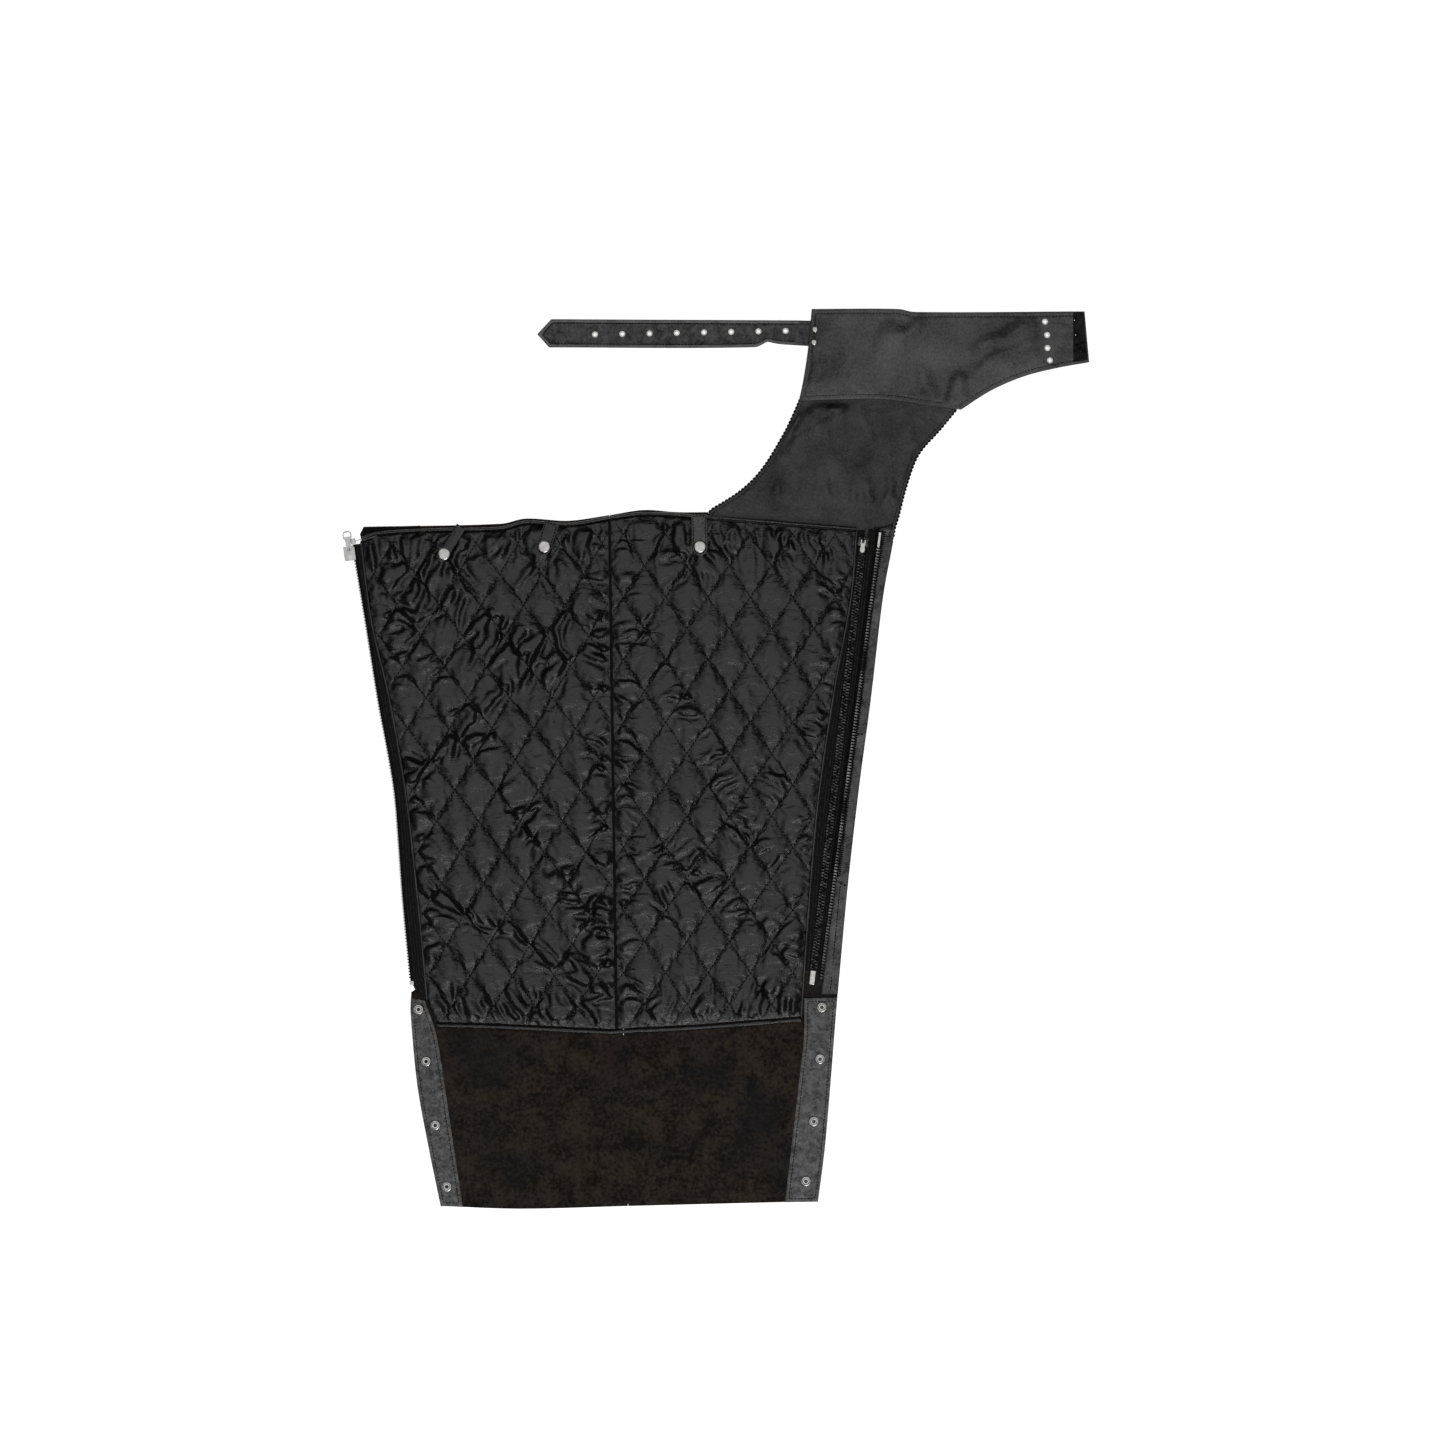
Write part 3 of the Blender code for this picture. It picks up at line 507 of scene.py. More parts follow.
def hemmed(away, top, look):  # heights of a sheet with a turned hem and a stitched groove beside its edge
    begins, ends = hem["fade"]
    rise = look.get("hemRise", 0.0) * (1 - within(away, look["stitch"] + begins, look["stitch"] + ends))
    groove = look.get("groove", hem["groove"]) * np.exp(-((away - look["stitch"]) / hem["grooveWidth"]) ** 2)
    roundOff = hem["drop"] * (1 - within(away, 0, hem["edge"]))
    return top + rise - groove - roundOff


# Threads: short stitches laid along a line

def sew(name, runs, height, look, body=None):
    half, radius, sides = look["stitchLength"] / 2, look["thread"], 6
    ringAt = [(-1.0, 0.15), (-0.62, 1.0), (0.62, 1.0), (1.0, 0.15)]
    circle = [(math.cos(math.tau * side / sides), math.sin(math.tau * side / sides)) for side in range(sides)]
    template = np.array([(half * share, radius * width * across, radius * width * up)
                         for share, width in ringAt for across, up in circle])
    template[:, 2] -= 0.35 * radius * np.abs(template[:, 0] / half) ** 3  # its ends sink into the cloth
    faces = []
    for ring in range(0, 3 * sides, sides):
        for side in range(sides):
            ahead = (side + 1) % sides
            faces.append((ring + side, ring + ahead, ring + sides + ahead, ring + sides + side))
    faces += [tuple(reversed(range(sides))), tuple(range(3 * sides, 4 * sides))]
    verts, allFaces = [], []
    for run in runs:
        line = evenly(run, look["pitch"])
        middles, ways = (line[1:] + line[:-1]) / 2, np.diff(line, axis=0)
        ways /= np.maximum(np.linalg.norm(ways, axis=1), 1e-6)[:, None]
        for (x, y), (dx, dy) in zip(middles, ways):
            base = len(verts) * len(template)
            verts.append(np.column_stack([x + dx * template[:, 0] - dy * template[:, 1],
                                          y + dy * template[:, 0] + dx * template[:, 1], height + template[:, 2]]))
            allFaces += [tuple(base + corner for corner in face) for face in faces]
    mesh = bpy.data.meshes.new(name)
    mesh.from_pydata((np.vstack(verts) * mm).tolist(), [], allFaces)
    piece = linked(name, mesh)
    mesh.shade_smooth()
    dress(piece, look.get("colour", "blackThread"))
    if body:
        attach(piece, body)
    return piece


def beside(line, across):  # the line moved sideways: to the right of the way it runs if across is above 0
    line = np.asarray(line, float)
    ways = np.gradient(line, axis=0)
    ways /= np.maximum(np.linalg.norm(ways, axis=1), 1e-6)[:, None]
    return line + np.column_stack([ways[:, 1], -ways[:, 0]]) * across


def inset(outline, away):  # a closed outline moved inwards, joined up at the end
    outline = np.asarray(outline, float)
    inward = -1 if signedArea(outline) > 0 else 1
    looped = np.vstack([outline[-2:], outline, outline[:2]])
    moved = beside(looped, inward * away)[2:-2]
    gap, _ = toLine(moved, outline, closed=True)
    kept = moved[gap > away * 0.93]
    return np.vstack([kept, kept[:1]])


# Long pieces with one section: piping, binding, tapes

def sweep(name, line, section, swell=None):  # a closed section carried along a line, with an "along" map
    line = np.asarray(line, float)
    ways = np.gradient(line, axis=0)
    ways /= np.maximum(np.linalg.norm(ways, axis=1), 1e-6)[:, None]
    along = np.concatenate([[0], np.cumsum(np.linalg.norm(np.diff(line, axis=0), axis=1))])
    section = np.asarray(section, float)
    middle = section.mean(axis=0)
    bm = bmesh.new()
    layer = bm.loops.layers.uv.new("along")
    rings = []
    for place, (x, y) in enumerate(line):
        grown = middle + (section - middle) * (1 if swell is None else swell[place])
        dx, dy = ways[place]
        rings.append([bm.verts.new((x + dy * across, y - dx * across, z)) for across, z in grown])
    count = len(section)
    for row, (before, after) in enumerate(zip(rings, rings[1:])):
        for side in range(count):
            ahead = (side + 1) % count
            face = bm.faces.new([before[side], after[side], after[ahead], before[ahead]])
            spots = [(row, side), (row + 1, side), (row + 1, ahead), (row, ahead)]
            for loop, (r, s) in zip(face.loops, spots):
                loop[layer].uv = (along[r] * mm, section[s][0] * mm)
    bm.faces.new(rings[0])
    bm.faces.new(list(reversed(rings[-1])))
    bmesh.ops.recalc_face_normals(bm, faces=bm.faces)
    bmesh.ops.scale(bm, vec=(mm, mm, mm), verts=bm.verts)
    piece = fromBmesh(bm, name)
    piece.data.shade_smooth()
    piece.data.set_sharp_from_angle(angle=math.radians(50))
    return piece


def roundSection(width, low, high, sides=12):
    middle, tall = (low + high) / 2, (high - low) / 2
    return [(width / 2 * math.cos(math.tau * side / sides), middle + tall * math.sin(math.tau * side / sides))
            for side in range(sides)]


def flatSection(left, right, low, high, parts=6, rib=0.0):  # a band, with soft ribs along its top if asked
    top = [(left + (right - left) * part / parts, high + rib * (0.5 + 0.5 * math.cos(part * math.pi)))
           for part in range(parts + 1)]
    return [(left, low), *top, (right, low)]


def bendAt(piece):
    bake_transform(piece)


def swapped(outline, near, places):  # the outline with the point nearest to a place replaced, going left round
    outline = list(outline) if signedArea(outline) > 0 else list(reversed(outline))
    spot = min(range(len(outline)), key=lambda index: math.dist(outline[index], near))
    return [*outline[:spot], *places, *outline[spot + 1:]]


def spine(node):  # the middle line of a narrow CAD band that runs across, from left to right
    pairs = {}
    for x, y in nodeOutline(node):
        pairs.setdefault(round(x, 1), []).append(y)
    return [(x, sum(ys) / len(ys)) for x, ys in sorted(pairs.items()) if len(ys) > 1]


def sideOf(node, keep):  # the part of a CAD outline that keep(x, y) picks, from the top down
    return sorted([point for point in nodeOutline(node) if keep(*point)], key=lambda point: -point[1])


# The leg's shell: grain leather with its suede side up, in two panels

shell = dict(top=1.4, thickness=1.4, rings=(0.8, 4.0, 1.0, 1.0), stitch=5.3, cell=4.5, wave=0.9, bareBelow=(322, 345),
             waistTrim=[(-9.0, 272.3), (-9.0, 288.0)], cornerTrim=[(207.0, 254.2)])


def layShell(name, node, outline):
    outline = closedThrough(outline)
    piece = cutSheet(name, outline, shell["rings"], shell["cell"])
    flat = flatPlaces(piece)
    away, _ = toLine(flat, outline, closed=True)
    bare = within(-flat[:, 1], *shell["bareBelow"]) * within(away, 6, 45)  # the suede that the lining leaves open
    wave = shell["wave"] * bare * (0.55 + 0.45 * ripple(flat, 45.0, 3.1) + 0.25 * ripple(flat, 17.0, 8.2))
    setPlaces(piece, flat, hemmed(away, shell["top"], shell) + wave)
    solidify(piece, shell["thickness"])
    dress(piece, "suede", "grainSide")
    undersideTo(piece, 1)
    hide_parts(node)
    declareSheet(outline)
    bendAt(piece)


layShell("legShellLeft", "leg_shell_left", nodeOutline("leg_shell_left"))
rightPanel = swapped(nodeOutline("leg_shell_right"), (-9.0, 288.0), shell["waistTrim"])
layShell("legShellRight", "leg_shell_right", swapped(rightPanel, (209.0, 269.5), shell["cornerTrim"]))
print("shell laid")


# The quilted lining: satin over wadding, sewn in diamonds and pressed up by cloth simulation

quilt = dict(
    parts=np.array([0.0, 0.035, 0.085, 0.15, 0.225, 0.3, 0.38, 0.46, 0.54, 0.62, 0.7, 0.775, 0.85, 0.915, 0.965]),
    low=3.1, rise=3.9, top=8.3, floor=1.75, gather=0.8, pucker=0.4, exponent=0.37, rings=(1.4, 2.6), cell=3.4,
    swell=1.6, spare=-0.012, drift=2.0, steps=14, fill=0.5, threadLift=0.75,
    cloth=dict(quality=6, mass=0.15, tension_stiffness=12, compression_stiffness=8, shear_stiffness=4,
               bending_stiffness=0.6, vertex_group_mass="held", use_pressure=True),
    stitch=dict(pitch=4.4, stitchLength=3.6, thread=0.5),
    bold={"Left": 1.45, "Right": 1.1},
    pulls={"Left": [(-316.6, 238.8, 7), (-200.0, 247.3, 6)], "Right": [(-18.7, 247.3, 6)]},
    rows={
        "Left": [((-128.0, 262.0), (-120.0, -290.0), 60, 180, 46), ((-392.0, 235.0), (-343.0, -240.0), 54, 8, 50),
                 ((-400.0, 262.0), (-140.0, 276.0), 40, 255, 80), ((-330.0, -300.0), (-130.0, -305.0), 34, 110, 60),
                 ((-370.0, 150.0), (-150.0, -220.0), 44, 30, 60), ((-370.0, -40.0), (-150.0, 200.0), 44, 250, 66),
                 ((-370.0, 235.0), (-150.0, 110.0), 44, 232, 90), ((-350.0, -150.0), (-140.0, -260.0), 30, 150, 70)],
        "Right": [((-119.0, 262.0), (-111.0, -290.0), 60, 0, 46), ((158.0, 235.0), (100.0, -240.0), 50, 188, 46),
                  ((-110.0, 276.0), (150.0, 266.0), 40, 280, 80), ((-100.0, -300.0), (90.0, -296.0), 34, 70, 60),
                  ((-90.0, 190.0), (120.0, -200.0), 40, 205, 56), ((-90.0, -180.0), (120.0, 60.0), 34, 320, 60),
                  ((-90.0, -100.0), (100.0, -260.0), 30, 30, 70)],
    },
    halves={
        "Left": dict(node="quilted_lining_left", first=(-322.8, 179.7), wide=49.0, tall=72.0, slant=3.0,
                     seam=[((-124.5, 278.0), (-124.6, 278.2)), ((-108.9, -316.0), (-116.3, -315.5))]),
        "Right": dict(node="quilted_lining_right", first=(-9.3, 189.0), wide=49.4, tall=73.0, slant=0.0,
                      seam=[((-123.0, 278.0), (-123.9, 278.2)), ((-107.5, -314.0), (-115.6, -315.0))]),
    },
)


def latticeOf(half):  # each family of stitch lines: its normal, and its value where x and y are 0
    x, y = half["first"]
    wide, tall, slant = half["wide"], half["tall"], half["slant"]
    lean = 2 * slant / (tall * wide)
    first = (1 / wide, lean - 1 / tall)
    second = (1 / wide, lean + 1 / tall)
    return [(normal, -(normal[0] * x + normal[1] * y)) for normal in (first, second)]


def latticeSpots(outline, lattice):  # the mesh's points, in rows along the stitch lines
    normals = np.array([normal for normal, _ in lattice])
    offsets = np.array([offset for _, offset in lattice])
    values = np.asarray(outline) @ normals.T + offsets
    low, high = np.floor(values.min(axis=0)), np.ceil(values.max(axis=0))
    rows = [(np.arange(low[way], high[way] + 1)[:, None] + quilt["parts"]).ravel() for way in (0, 1)]
    wanted = np.stack(np.meshgrid(*rows), axis=-1).reshape(-1, 2)
    return np.linalg.solve(normals, (wanted - offsets).T).T


def seamDistances(flat, lattice):
    found = []
    for normal, offset in lattice:
        value = flat @ np.array(normal) + offset
        found.append((np.abs(value - np.round(value)), math.hypot(*normal)))
    return found


def creasesOf(side):  # where folds of spare cloth start, which way they run, and how long, wide and high they are
    draw = random.Random(len(side))
    bold = quilt["bold"][side]
    creases = []
    for x, y, count in quilt["pulls"][side]:
        for turn in np.linspace(195, 345, count):
            creases.append((x, y, turn + draw.uniform(-12, 12), draw.uniform(34, 85),
                            draw.uniform(2.6, 4.4), draw.uniform(2.4, 3.8)))
    for first, second, count, turn, longest in quilt["rows"][side]:
        for _ in range(count):
            share = draw.random()
            x, y = (one + (two - one) * share for one, two in zip(first, second))
            creases.append((x, y, turn + draw.uniform(-24, 24), draw.uniform(0.35, 1) * longest,
                            draw.uniform(1.8, 3.3) * bold, draw.uniform(1.0, 2.9) * bold))
    return creases


def creaseHeights(flat, side, seed):
    total = np.zeros(len(flat))
    wander = 5.0 * ripple(flat, 38.0, seed + 2) + 1.6 * ripple(flat, 13.0, seed + 6)
    for x, y, turn, length, width, rise in creasesOf(side):
        way = np.array([math.cos(math.radians(turn)), math.sin(math.radians(turn))])
        along = (flat - (x, y)) @ way
        across = (flat - (x, y)) @ np.array([-way[1], way[0]]) + wander - wander.mean()
        ends = within(along, -4.0, 5.0) * (1 - within(along, length * 0.45, length))
        ridge = np.exp(-(across / width) ** 2) - 0.75 * np.exp(-((across - width * 1.7) / width) ** 2)
        total += rise * ends * ridge
    return total


def quiltHeights(flat, away, lattice, seed, side):
    (first, firstGrade), (second, secondGrade) = seamDistances(flat, lattice)
    puff = (np.sin(math.pi * first) * np.sin(math.pi * second)) ** quilt["exponent"]
    near = np.minimum(first / firstGrade, second / secondGrade)
    other = np.where(first / firstGrade < second / secondGrade, flat @ np.array(lattice[1][0]) / secondGrade,
                     flat @ np.array(lattice[0][0]) / firstGrade)
    pucker = np.sin(math.tau * other / 12.0 + 3.5 * ripple(flat, 26.0, seed))
    pucker = pucker * np.exp(-near / 7.0) * within(near, 0, 2.0)
    edge = within(away, 0.0, 11.0)
    fold = ripple(flat, 24.0, seed + 4) * 0.7 * quilt["bold"][side]
    slack = creaseHeights(flat, side, seed) * within(near, 0, 5.0)
    rise = quilt["rise"] * puff * (0.72 + 0.2 * ripple(flat, 55.0, seed)) + quilt["pucker"] * pucker + fold * puff
    return quilt["low"] + edge * (rise + slack), near


def pressUp(piece, held):  # the cloth between the stitch lines is blown up a little, and its points returned
    group = piece.vertex_groups.new(name="held")
    for index in np.flatnonzero(held):
        group.add([int(index)], 1.0, "REPLACE")
    before = np.empty(len(piece.data.vertices) * 3)
    piece.data.vertices.foreach_get("co", before)
    cloth = piece.modifiers.new("cloth", "CLOTH")
    settings = cloth.settings
    for key, value in quilt["cloth"].items():
        setattr(settings, key, value)
    settings.shrink_min = quilt["spare"]
    settings.uniform_pressure_force = quilt["swell"]
    settings.effector_weights.gravity = 0
    cloth.collision_settings.use_collision = False
    cloth.point_cache.frame_end = quilt["steps"] + 2
    for count in range(1, quilt["steps"] + 1):
        bpy.context.scene.frame_set(count)
    depsgraph = bpy.context.evaluated_depsgraph_get()
    after = np.empty(len(before))
    piece.evaluated_get(depsgraph).data.vertices.foreach_get("co", after)
    piece.modifiers.remove(cloth)
    bpy.context.scene.frame_set(1)
    before, after = before.reshape(-1, 3) / mm, after.reshape(-1, 3) / mm
    moved = np.clip(after - before, -quilt["drift"], quilt["drift"])
    settled = before + moved
    return settled[:, :2], np.clip(settled[:, 2], quilt["low"] - 0.6, quilt["top"])


def closeBelow(piece, floor):  # a flat back and side walls under an open surface
    bm = bmesh.new()
    bm.from_mesh(piece.data)
    old = list(bm.verts)
    bmesh.ops.extrude_face_region(bm, geom=list(bm.faces), use_keep_orig=True)
    for vert in old:
        vert.co.z = floor * mm
    bmesh.ops.recalc_face_normals(bm, faces=bm.faces)
    bm.to_mesh(piece.data)
    bm.free()


def layQuilt(side, half):
    points = nodeOutline(half["node"])
    for near, place in half["seam"]:
        points = swapped(points, near, [place])
    outline = closedThrough(points, step=3.0)
    lattice = latticeOf(half)
    piece = cutSheet("quiltedLining" + side, outline, quilt["rings"], quilt["cell"], latticeSpots(outline, lattice))
    flat = flatPlaces(piece)
    away, place = toLine(flat, outline, closed=True)
    seed = len(side) * 1.7
    heights, near = quiltHeights(flat, away, lattice, seed, side)
    gather = np.sin(math.tau * place / 11.0 + 4.0 * ripple(flat, 24.0, seed + 9)) * np.exp(-away / 11.0)
    heights = heights + gather * quilt["gather"] * within(away, 0.6, 5.0)
    heights = heights - 0.9 * (1 - within(away, 0, 2.0))
    setPlaces(piece, flat, np.clip(heights, 2.2, quilt["top"]))
    flat, heights = pressUp(piece, (near < 0.4) | (away < 1.0))
    setPlaces(piece, flat, heights)
    closeBelow(piece, quilt["floor"])
    piece.vertex_groups.clear()
    smooth = piece.modifiers.new("softer", "SUBSURF")
    smooth.levels = smooth.render_levels = 1
    applyAll(piece)
    dress(piece, "satin")
    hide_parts(half["node"])
    bendAt(piece)
    return outline, lattice


def latticeRuns(outline, lattice):  # the stitch lines inside an outline
    outline = np.asarray(outline)
    runs = []
    for normal, offset in lattice:
        size = math.hypot(*normal)
        way, run = np.array(normal) / size, np.array([-normal[1], normal[0]]) / size
        values = outline @ np.array(normal) + offset
        for value in range(math.ceil(values.min()), math.floor(values.max()) + 1):
            base = way * (value - offset) / size
            ahead = np.roll(outline, -1, axis=0)
            one, two = (outline - base) @ way, (ahead - base) @ way
            crossing = (one > 0) != (two > 0)
            share = (one / (one - two + 1e-12))[crossing]
            hits = np.sort((outline[crossing] + share[:, None] * (ahead - outline)[crossing] - base) @ run)
            for low, high in zip(hits[::2], hits[1::2]):
                if high - low > 12:
                    runs.append([base + run * (low + 4), base + run * (high - 4)])
    return runs


quiltRuns = []
quiltEdges = {}
for side, half in quilt["halves"].items():
    quiltEdges[side], lattice = layQuilt(side, half)
    quiltRuns.append((side, latticeRuns(quiltEdges[side], lattice)))
    print("quilted", side)
for side, runs in quiltRuns:
    threads = sew("quiltStitches" + side, runs, quilt["low"] + quilt["threadLift"], quilt["stitch"])
    bendAt(threads)


# Binding, hem, piping and the centre seam of the lining

trim = dict(binding=(4.0, 1.75, 7.4), hem=(5.0, 1.75, 5.6), piping=(2.2, 2.0, 5.0), step=3.0)


def gathered(line, amount, seed):  # a swelling along a piece, where its cloth is gathered
    line = np.asarray(line)
    _, place = toLine(line, line)
    return 1 + amount * (np.sin(math.tau * place / 7.5 + 3 * ripple(line, 19.0, seed)) + ripple(line, 30.0, seed))


def layTrim(name, line, section, nodes=(), body=None, material="satin", amount=0.05):  # it crosses the fold, or rides
    line = curveThrough(line, trim["step"])
    piece = sweep(name, line, section, gathered(line, amount, len(name)))
    dress(piece, material)
    if nodes:
        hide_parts(*nodes)
    if body:
        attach(piece, body)
    else:
        bendAt(piece)


layTrim("liningBinding", [*spine("lining_binding_left"), *spine("lining_binding_right")],
        roundSection(*trim["binding"]), ["lining_binding_left", "lining_binding_right"])
layTrim("liningHem", [*spine("lining_hem_left"), *spine("lining_hem_right")],
        roundSection(*trim["hem"]), ["lining_hem_left", "lining_hem_right"])
leftPipe = sideOf("quilted_lining_left", lambda x, y: x < -320 and -300 < y < 262)
rightPipe = sideOf("quilted_lining_right", lambda x, y: x > 96 and -302 < y < 266)
for name, pipe, across, body in (("leftPiping", leftPipe, 0.4, "left_half"),
                                 ("rightPiping", rightPipe, -0.4, "right_half")):
    layTrim(name, beside(curveThrough(pipe), across), roundSection(*trim["piping"], 10), body=body,
            material="piping", amount=0.02)
for name, line, section in (
    ("liningSeam", [(-124.3, 281.0), (-115.9, -316.0)], roundSection(3.6, 1.5, 3.6, 10)),
    ("shellTopStrip", [(-411.5, 266.4), (-400.0, 268.2), (-345.0, 269.8)], flatSection(-2.4, 3.6, 1.45, 2.1)),
):
    piece = sweep(name, evenly(line, 3.0), section)
    dress(piece, "blackThread")
    bendAt(piece)
print("lining trimmed")


# The waist: thigh panel, yoke and strap

waist = dict(
    thigh=dict(node="thigh_panel", top=1.4, thickness=1.4, rings=(0.8, 3.0, 1.0, 1.0), stitch=4.3, cell=4.0,
               hemRise=0.6, groove=0.9, highest=8.5,
               leftTongue=[(-8.7, 289.3), (-8.7, 272.9)], rightTongue=[(206.7, 254.9), (209.5, 271.1)],
               folds=[(150, 414, 205, 62, 8, 8.5), (130, 408, 220, 64, 8, 8.0), (104, 398, 236, 76, 7, 6.5),
                      (160, 292, 84, 46, 4, 2.8), (178, 290, 100, 60, 5, 3.0), (192, 292, 70, 40, 4, 2.6),
                      (128, 296, 95, 34, 4, 2.2), (100, 296, 80, 40, 5, 2.2), (70, 300, 70, 36, 4, 2.0),
                      (206, 300, 110, 40, 4, 2.2), (235, 372, 250, 60, 7, 1.6), (150, 404, 262, 50, 8, 1.6),
                      (148, 330, 20, 40, 5, 1.4)]),
    yoke=dict(node="waist_yoke", top=3.1, thickness=1.4, rings=(0.8, 3.6, 1.0, 1.0), stitch=5.0, cell=4.0,
              hemRise=1.0, groove=1.3, highest=7.6,
              holes=[(383.6, 509.8), (386.1, 494.4), (386.5, 479.2), (389.4, 464.8)], hole=2.6,
              folds=[(372, 507, 205, 100, 9, 7.6), (374, 490, 208, 110, 9, 7.0), (376, 474, 200, 70, 7, 5.0),
                     (392, 504, -8, 26, 4, 1.8), (394, 488, 6, 26, 4, 1.8), (394, 474, -4, 26, 4, 1.8),
                     (274, 412, 78, 46, 7, 6.0), (290, 420, 100, 40, 7, 5.4), (258, 420, 120, 56, 9, 4.2),
                     (244, 512, 215, 60, 9, 5.0), (108, 436, 60, 46, 8, 4.0), (206, 506, 240, 60, 9, 4.0)]),
    strap=dict(node="belt_strap", top=3.2, thickness=2.4, rings=(0.9, 2.6, 0.9, 0.9), stitch=4.2, cell=3.0,
               # highlightBand: how far in from the edge the painted highlight of the strap runs
               hemRise=0.8, groove=1.2, highlightBand=(1.2, 3.2), tuck=(96.0, 106.0), tuckTop=1.5, pared=0.1, hole=2.6,
               end={(104.9, 512.4): (127.9, 511.2), (104.9, 479.4): (127.9, 480.6)}),
)


def punchHoles(piece, places, radius):  # round holes through a sheet, by a Boolean with all its cutters joined
    bpy.ops.object.select_all(action="DESELECT")
    cutters = []
    for x, y in places:
        bpy.ops.mesh.primitive_cylinder_add(vertices=24, radius=radius * mm, depth=30 * mm,
                                            location=(x * mm, y * mm, 0))
        cutters.append(bpy.context.object)
    bpy.ops.object.select_all(action="DESELECT")
    for cutter in cutters:
        cutter.select_set(True)
    cutter = cutters[0]
    bpy.context.view_layer.objects.active = cutter
    bpy.ops.object.join()
    step = piece.modifiers.new("holes", "BOOLEAN")
    step.operation = "DIFFERENCE"
    step.object = cutter
    applyAll(piece)
    bpy.data.objects.remove(cutter)


def foldsIn(flat, lines, seed):  # soft folds: place, way they run, length, width and height of each
    total = np.zeros(len(flat))
    wander = 4.0 * ripple(flat, 34.0, seed)
    for x, y, turn, length, width, rise in lines:
        way = np.array([math.cos(math.radians(turn)), math.sin(math.radians(turn))])
        along = (flat - (x, y)) @ way
        across = (flat - (x, y)) @ np.array([-way[1], way[0]]) + wander
        ends = within(along, -8.0, 12.0) * (1 - within(along, length * 0.5, length))
        total += rise * ends * np.exp(-(across / width) ** 2)
    return total


def layThigh(look):
    points = swapped(nodeOutline(look["node"]), (-9.0, 289.3), look["leftTongue"])
    outline = closedThrough(swapped(points, (209.5, 271.1), look["rightTongue"]))
    piece = cutSheet("thighPanel", outline, look["rings"], look["cell"])
    flat = flatPlaces(piece)
    away, _ = toLine(flat, outline, closed=True)
    x, y = flat.T
    leaning = np.column_stack([x + 0.25 * y, y * 0.22])
    inside = within(away, 3, 30) * within(y, 292, 320)
    wave = inside * (1.1 + 1.1 * ripple(leaning, 26.0, 1.4) + 0.9 * ripple(leaning, 11.0, 5.0))
    clear = within(away, 2, 9) * within(y, 288, 300) * (1 - within(y, 409, 418))
    wave = wave + clear * foldsIn(flat, look["folds"], 2.7)
    setPlaces(piece, flat, hemmed(away, look["top"], look) + np.clip(wave, 0, look["highest"]))
    solidify(piece, look["thickness"])
    dress(piece, "thighLeather")
    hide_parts(look["node"])
    declareSheet(outline)
    bendAt(piece)
    return outline


def layYoke(look):
    outline = closedThrough(nodeOutline(look["node"]))
    piece = cutSheet("waistYoke", outline, look["rings"], look["cell"])
    flat = flatPlaces(piece)
    away, _ = toLine(flat, outline, closed=True)
    x, y = flat.T
    leaning = np.column_stack([(x - 0.9 * y) * 0.9, (y + 0.9 * x) * 0.25])
    inside = within(away, 4, 28) * within(x, 190, 330) * (1 - within(x, 355, 378))
    wave = inside * (0.9 + 1.1 * ripple(leaning, 26.0, 2.2))
    wave = wave + within(away, 6, 30) * 0.35 * (1 + ripple(flat, 40.0, 6.0))
    wave = wave + within(away, 3, 10) * foldsIn(flat, look["folds"], 6.1)
    setPlaces(piece, flat, hemmed(away, look["top"], look) + np.clip(wave, 0, look["highest"]))
    solidify(piece, look["thickness"])
    punchHoles(piece, look["holes"], look["hole"])
    dress(piece, "yokeLeather")
    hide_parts(look["node"])
    declareSheet(outline)
    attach(piece, "waist")
    return outline


def layStrap(look):
    points = nodeOutline(look["node"])
    for corner, place in look["end"].items():  # its end reaches under the yoke
        points = swapped(points, corner, [place])
    outline = closedThrough(points)
    piece = cutSheet("beltStrap", outline, look["rings"], look["cell"])
    flat = flatPlaces(piece)
    away, _ = toLine(flat, outline, closed=True)
    tuck = within(flat[:, 0], *look["tuck"])
    heights = hemmed(away, look["top"], look)
    setPlaces(piece, flat, heights + (look["tuckTop"] - look["top"]) * tuck)
    solidify(piece, look["thickness"])
    lower = np.empty(len(piece.data.vertices) * 3)
    piece.data.vertices.foreach_get("co", lower)
    lower = lower.reshape(-1, 3)
    share = within(lower[:, 0] / mm, *look["tuck"])
    under = lower[:, 2] < look["pared"] * mm  # under the yoke the strap is pared thinner
    lower[under & (share > 0), 2] = look["pared"] * mm
    piece.data.vertices.foreach_set("co", lower.ravel())
    centres = []
    for number in range(1, 9):
        low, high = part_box(f"strap_eyelet_{number}")
        middle = (low + high) / 2 / mm
        centres.append((middle.x, middle.y))
    punchHoles(piece, centres, look["hole"])
    # painted highlight: the faces in a band along the rounded edge take the lighter strapEdge copy of the strap leather
    dress(piece, "strapLeather", "strapEdge")
    middles = np.array([face.center[:2] for face in piece.data.polygons]) / mm
    gaps, _ = toLine(middles, outline, closed=True)
    nearest, furthest = look["highlightBand"]
    for face, gap in zip(piece.data.polygons, gaps):
        face.material_index = int(nearest < gap < furthest and face.center.x / mm < look["tuck"][0])
    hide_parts(look["node"])
    declareSheet(outline)
    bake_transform(piece)
    return outline


thighEdge = layThigh(waist["thigh"])
yokeEdge = layYoke(waist["yoke"])
strapEdge = layStrap(waist["strap"])
print("waist laid")


# Flat pieces of leather: flaps and facings

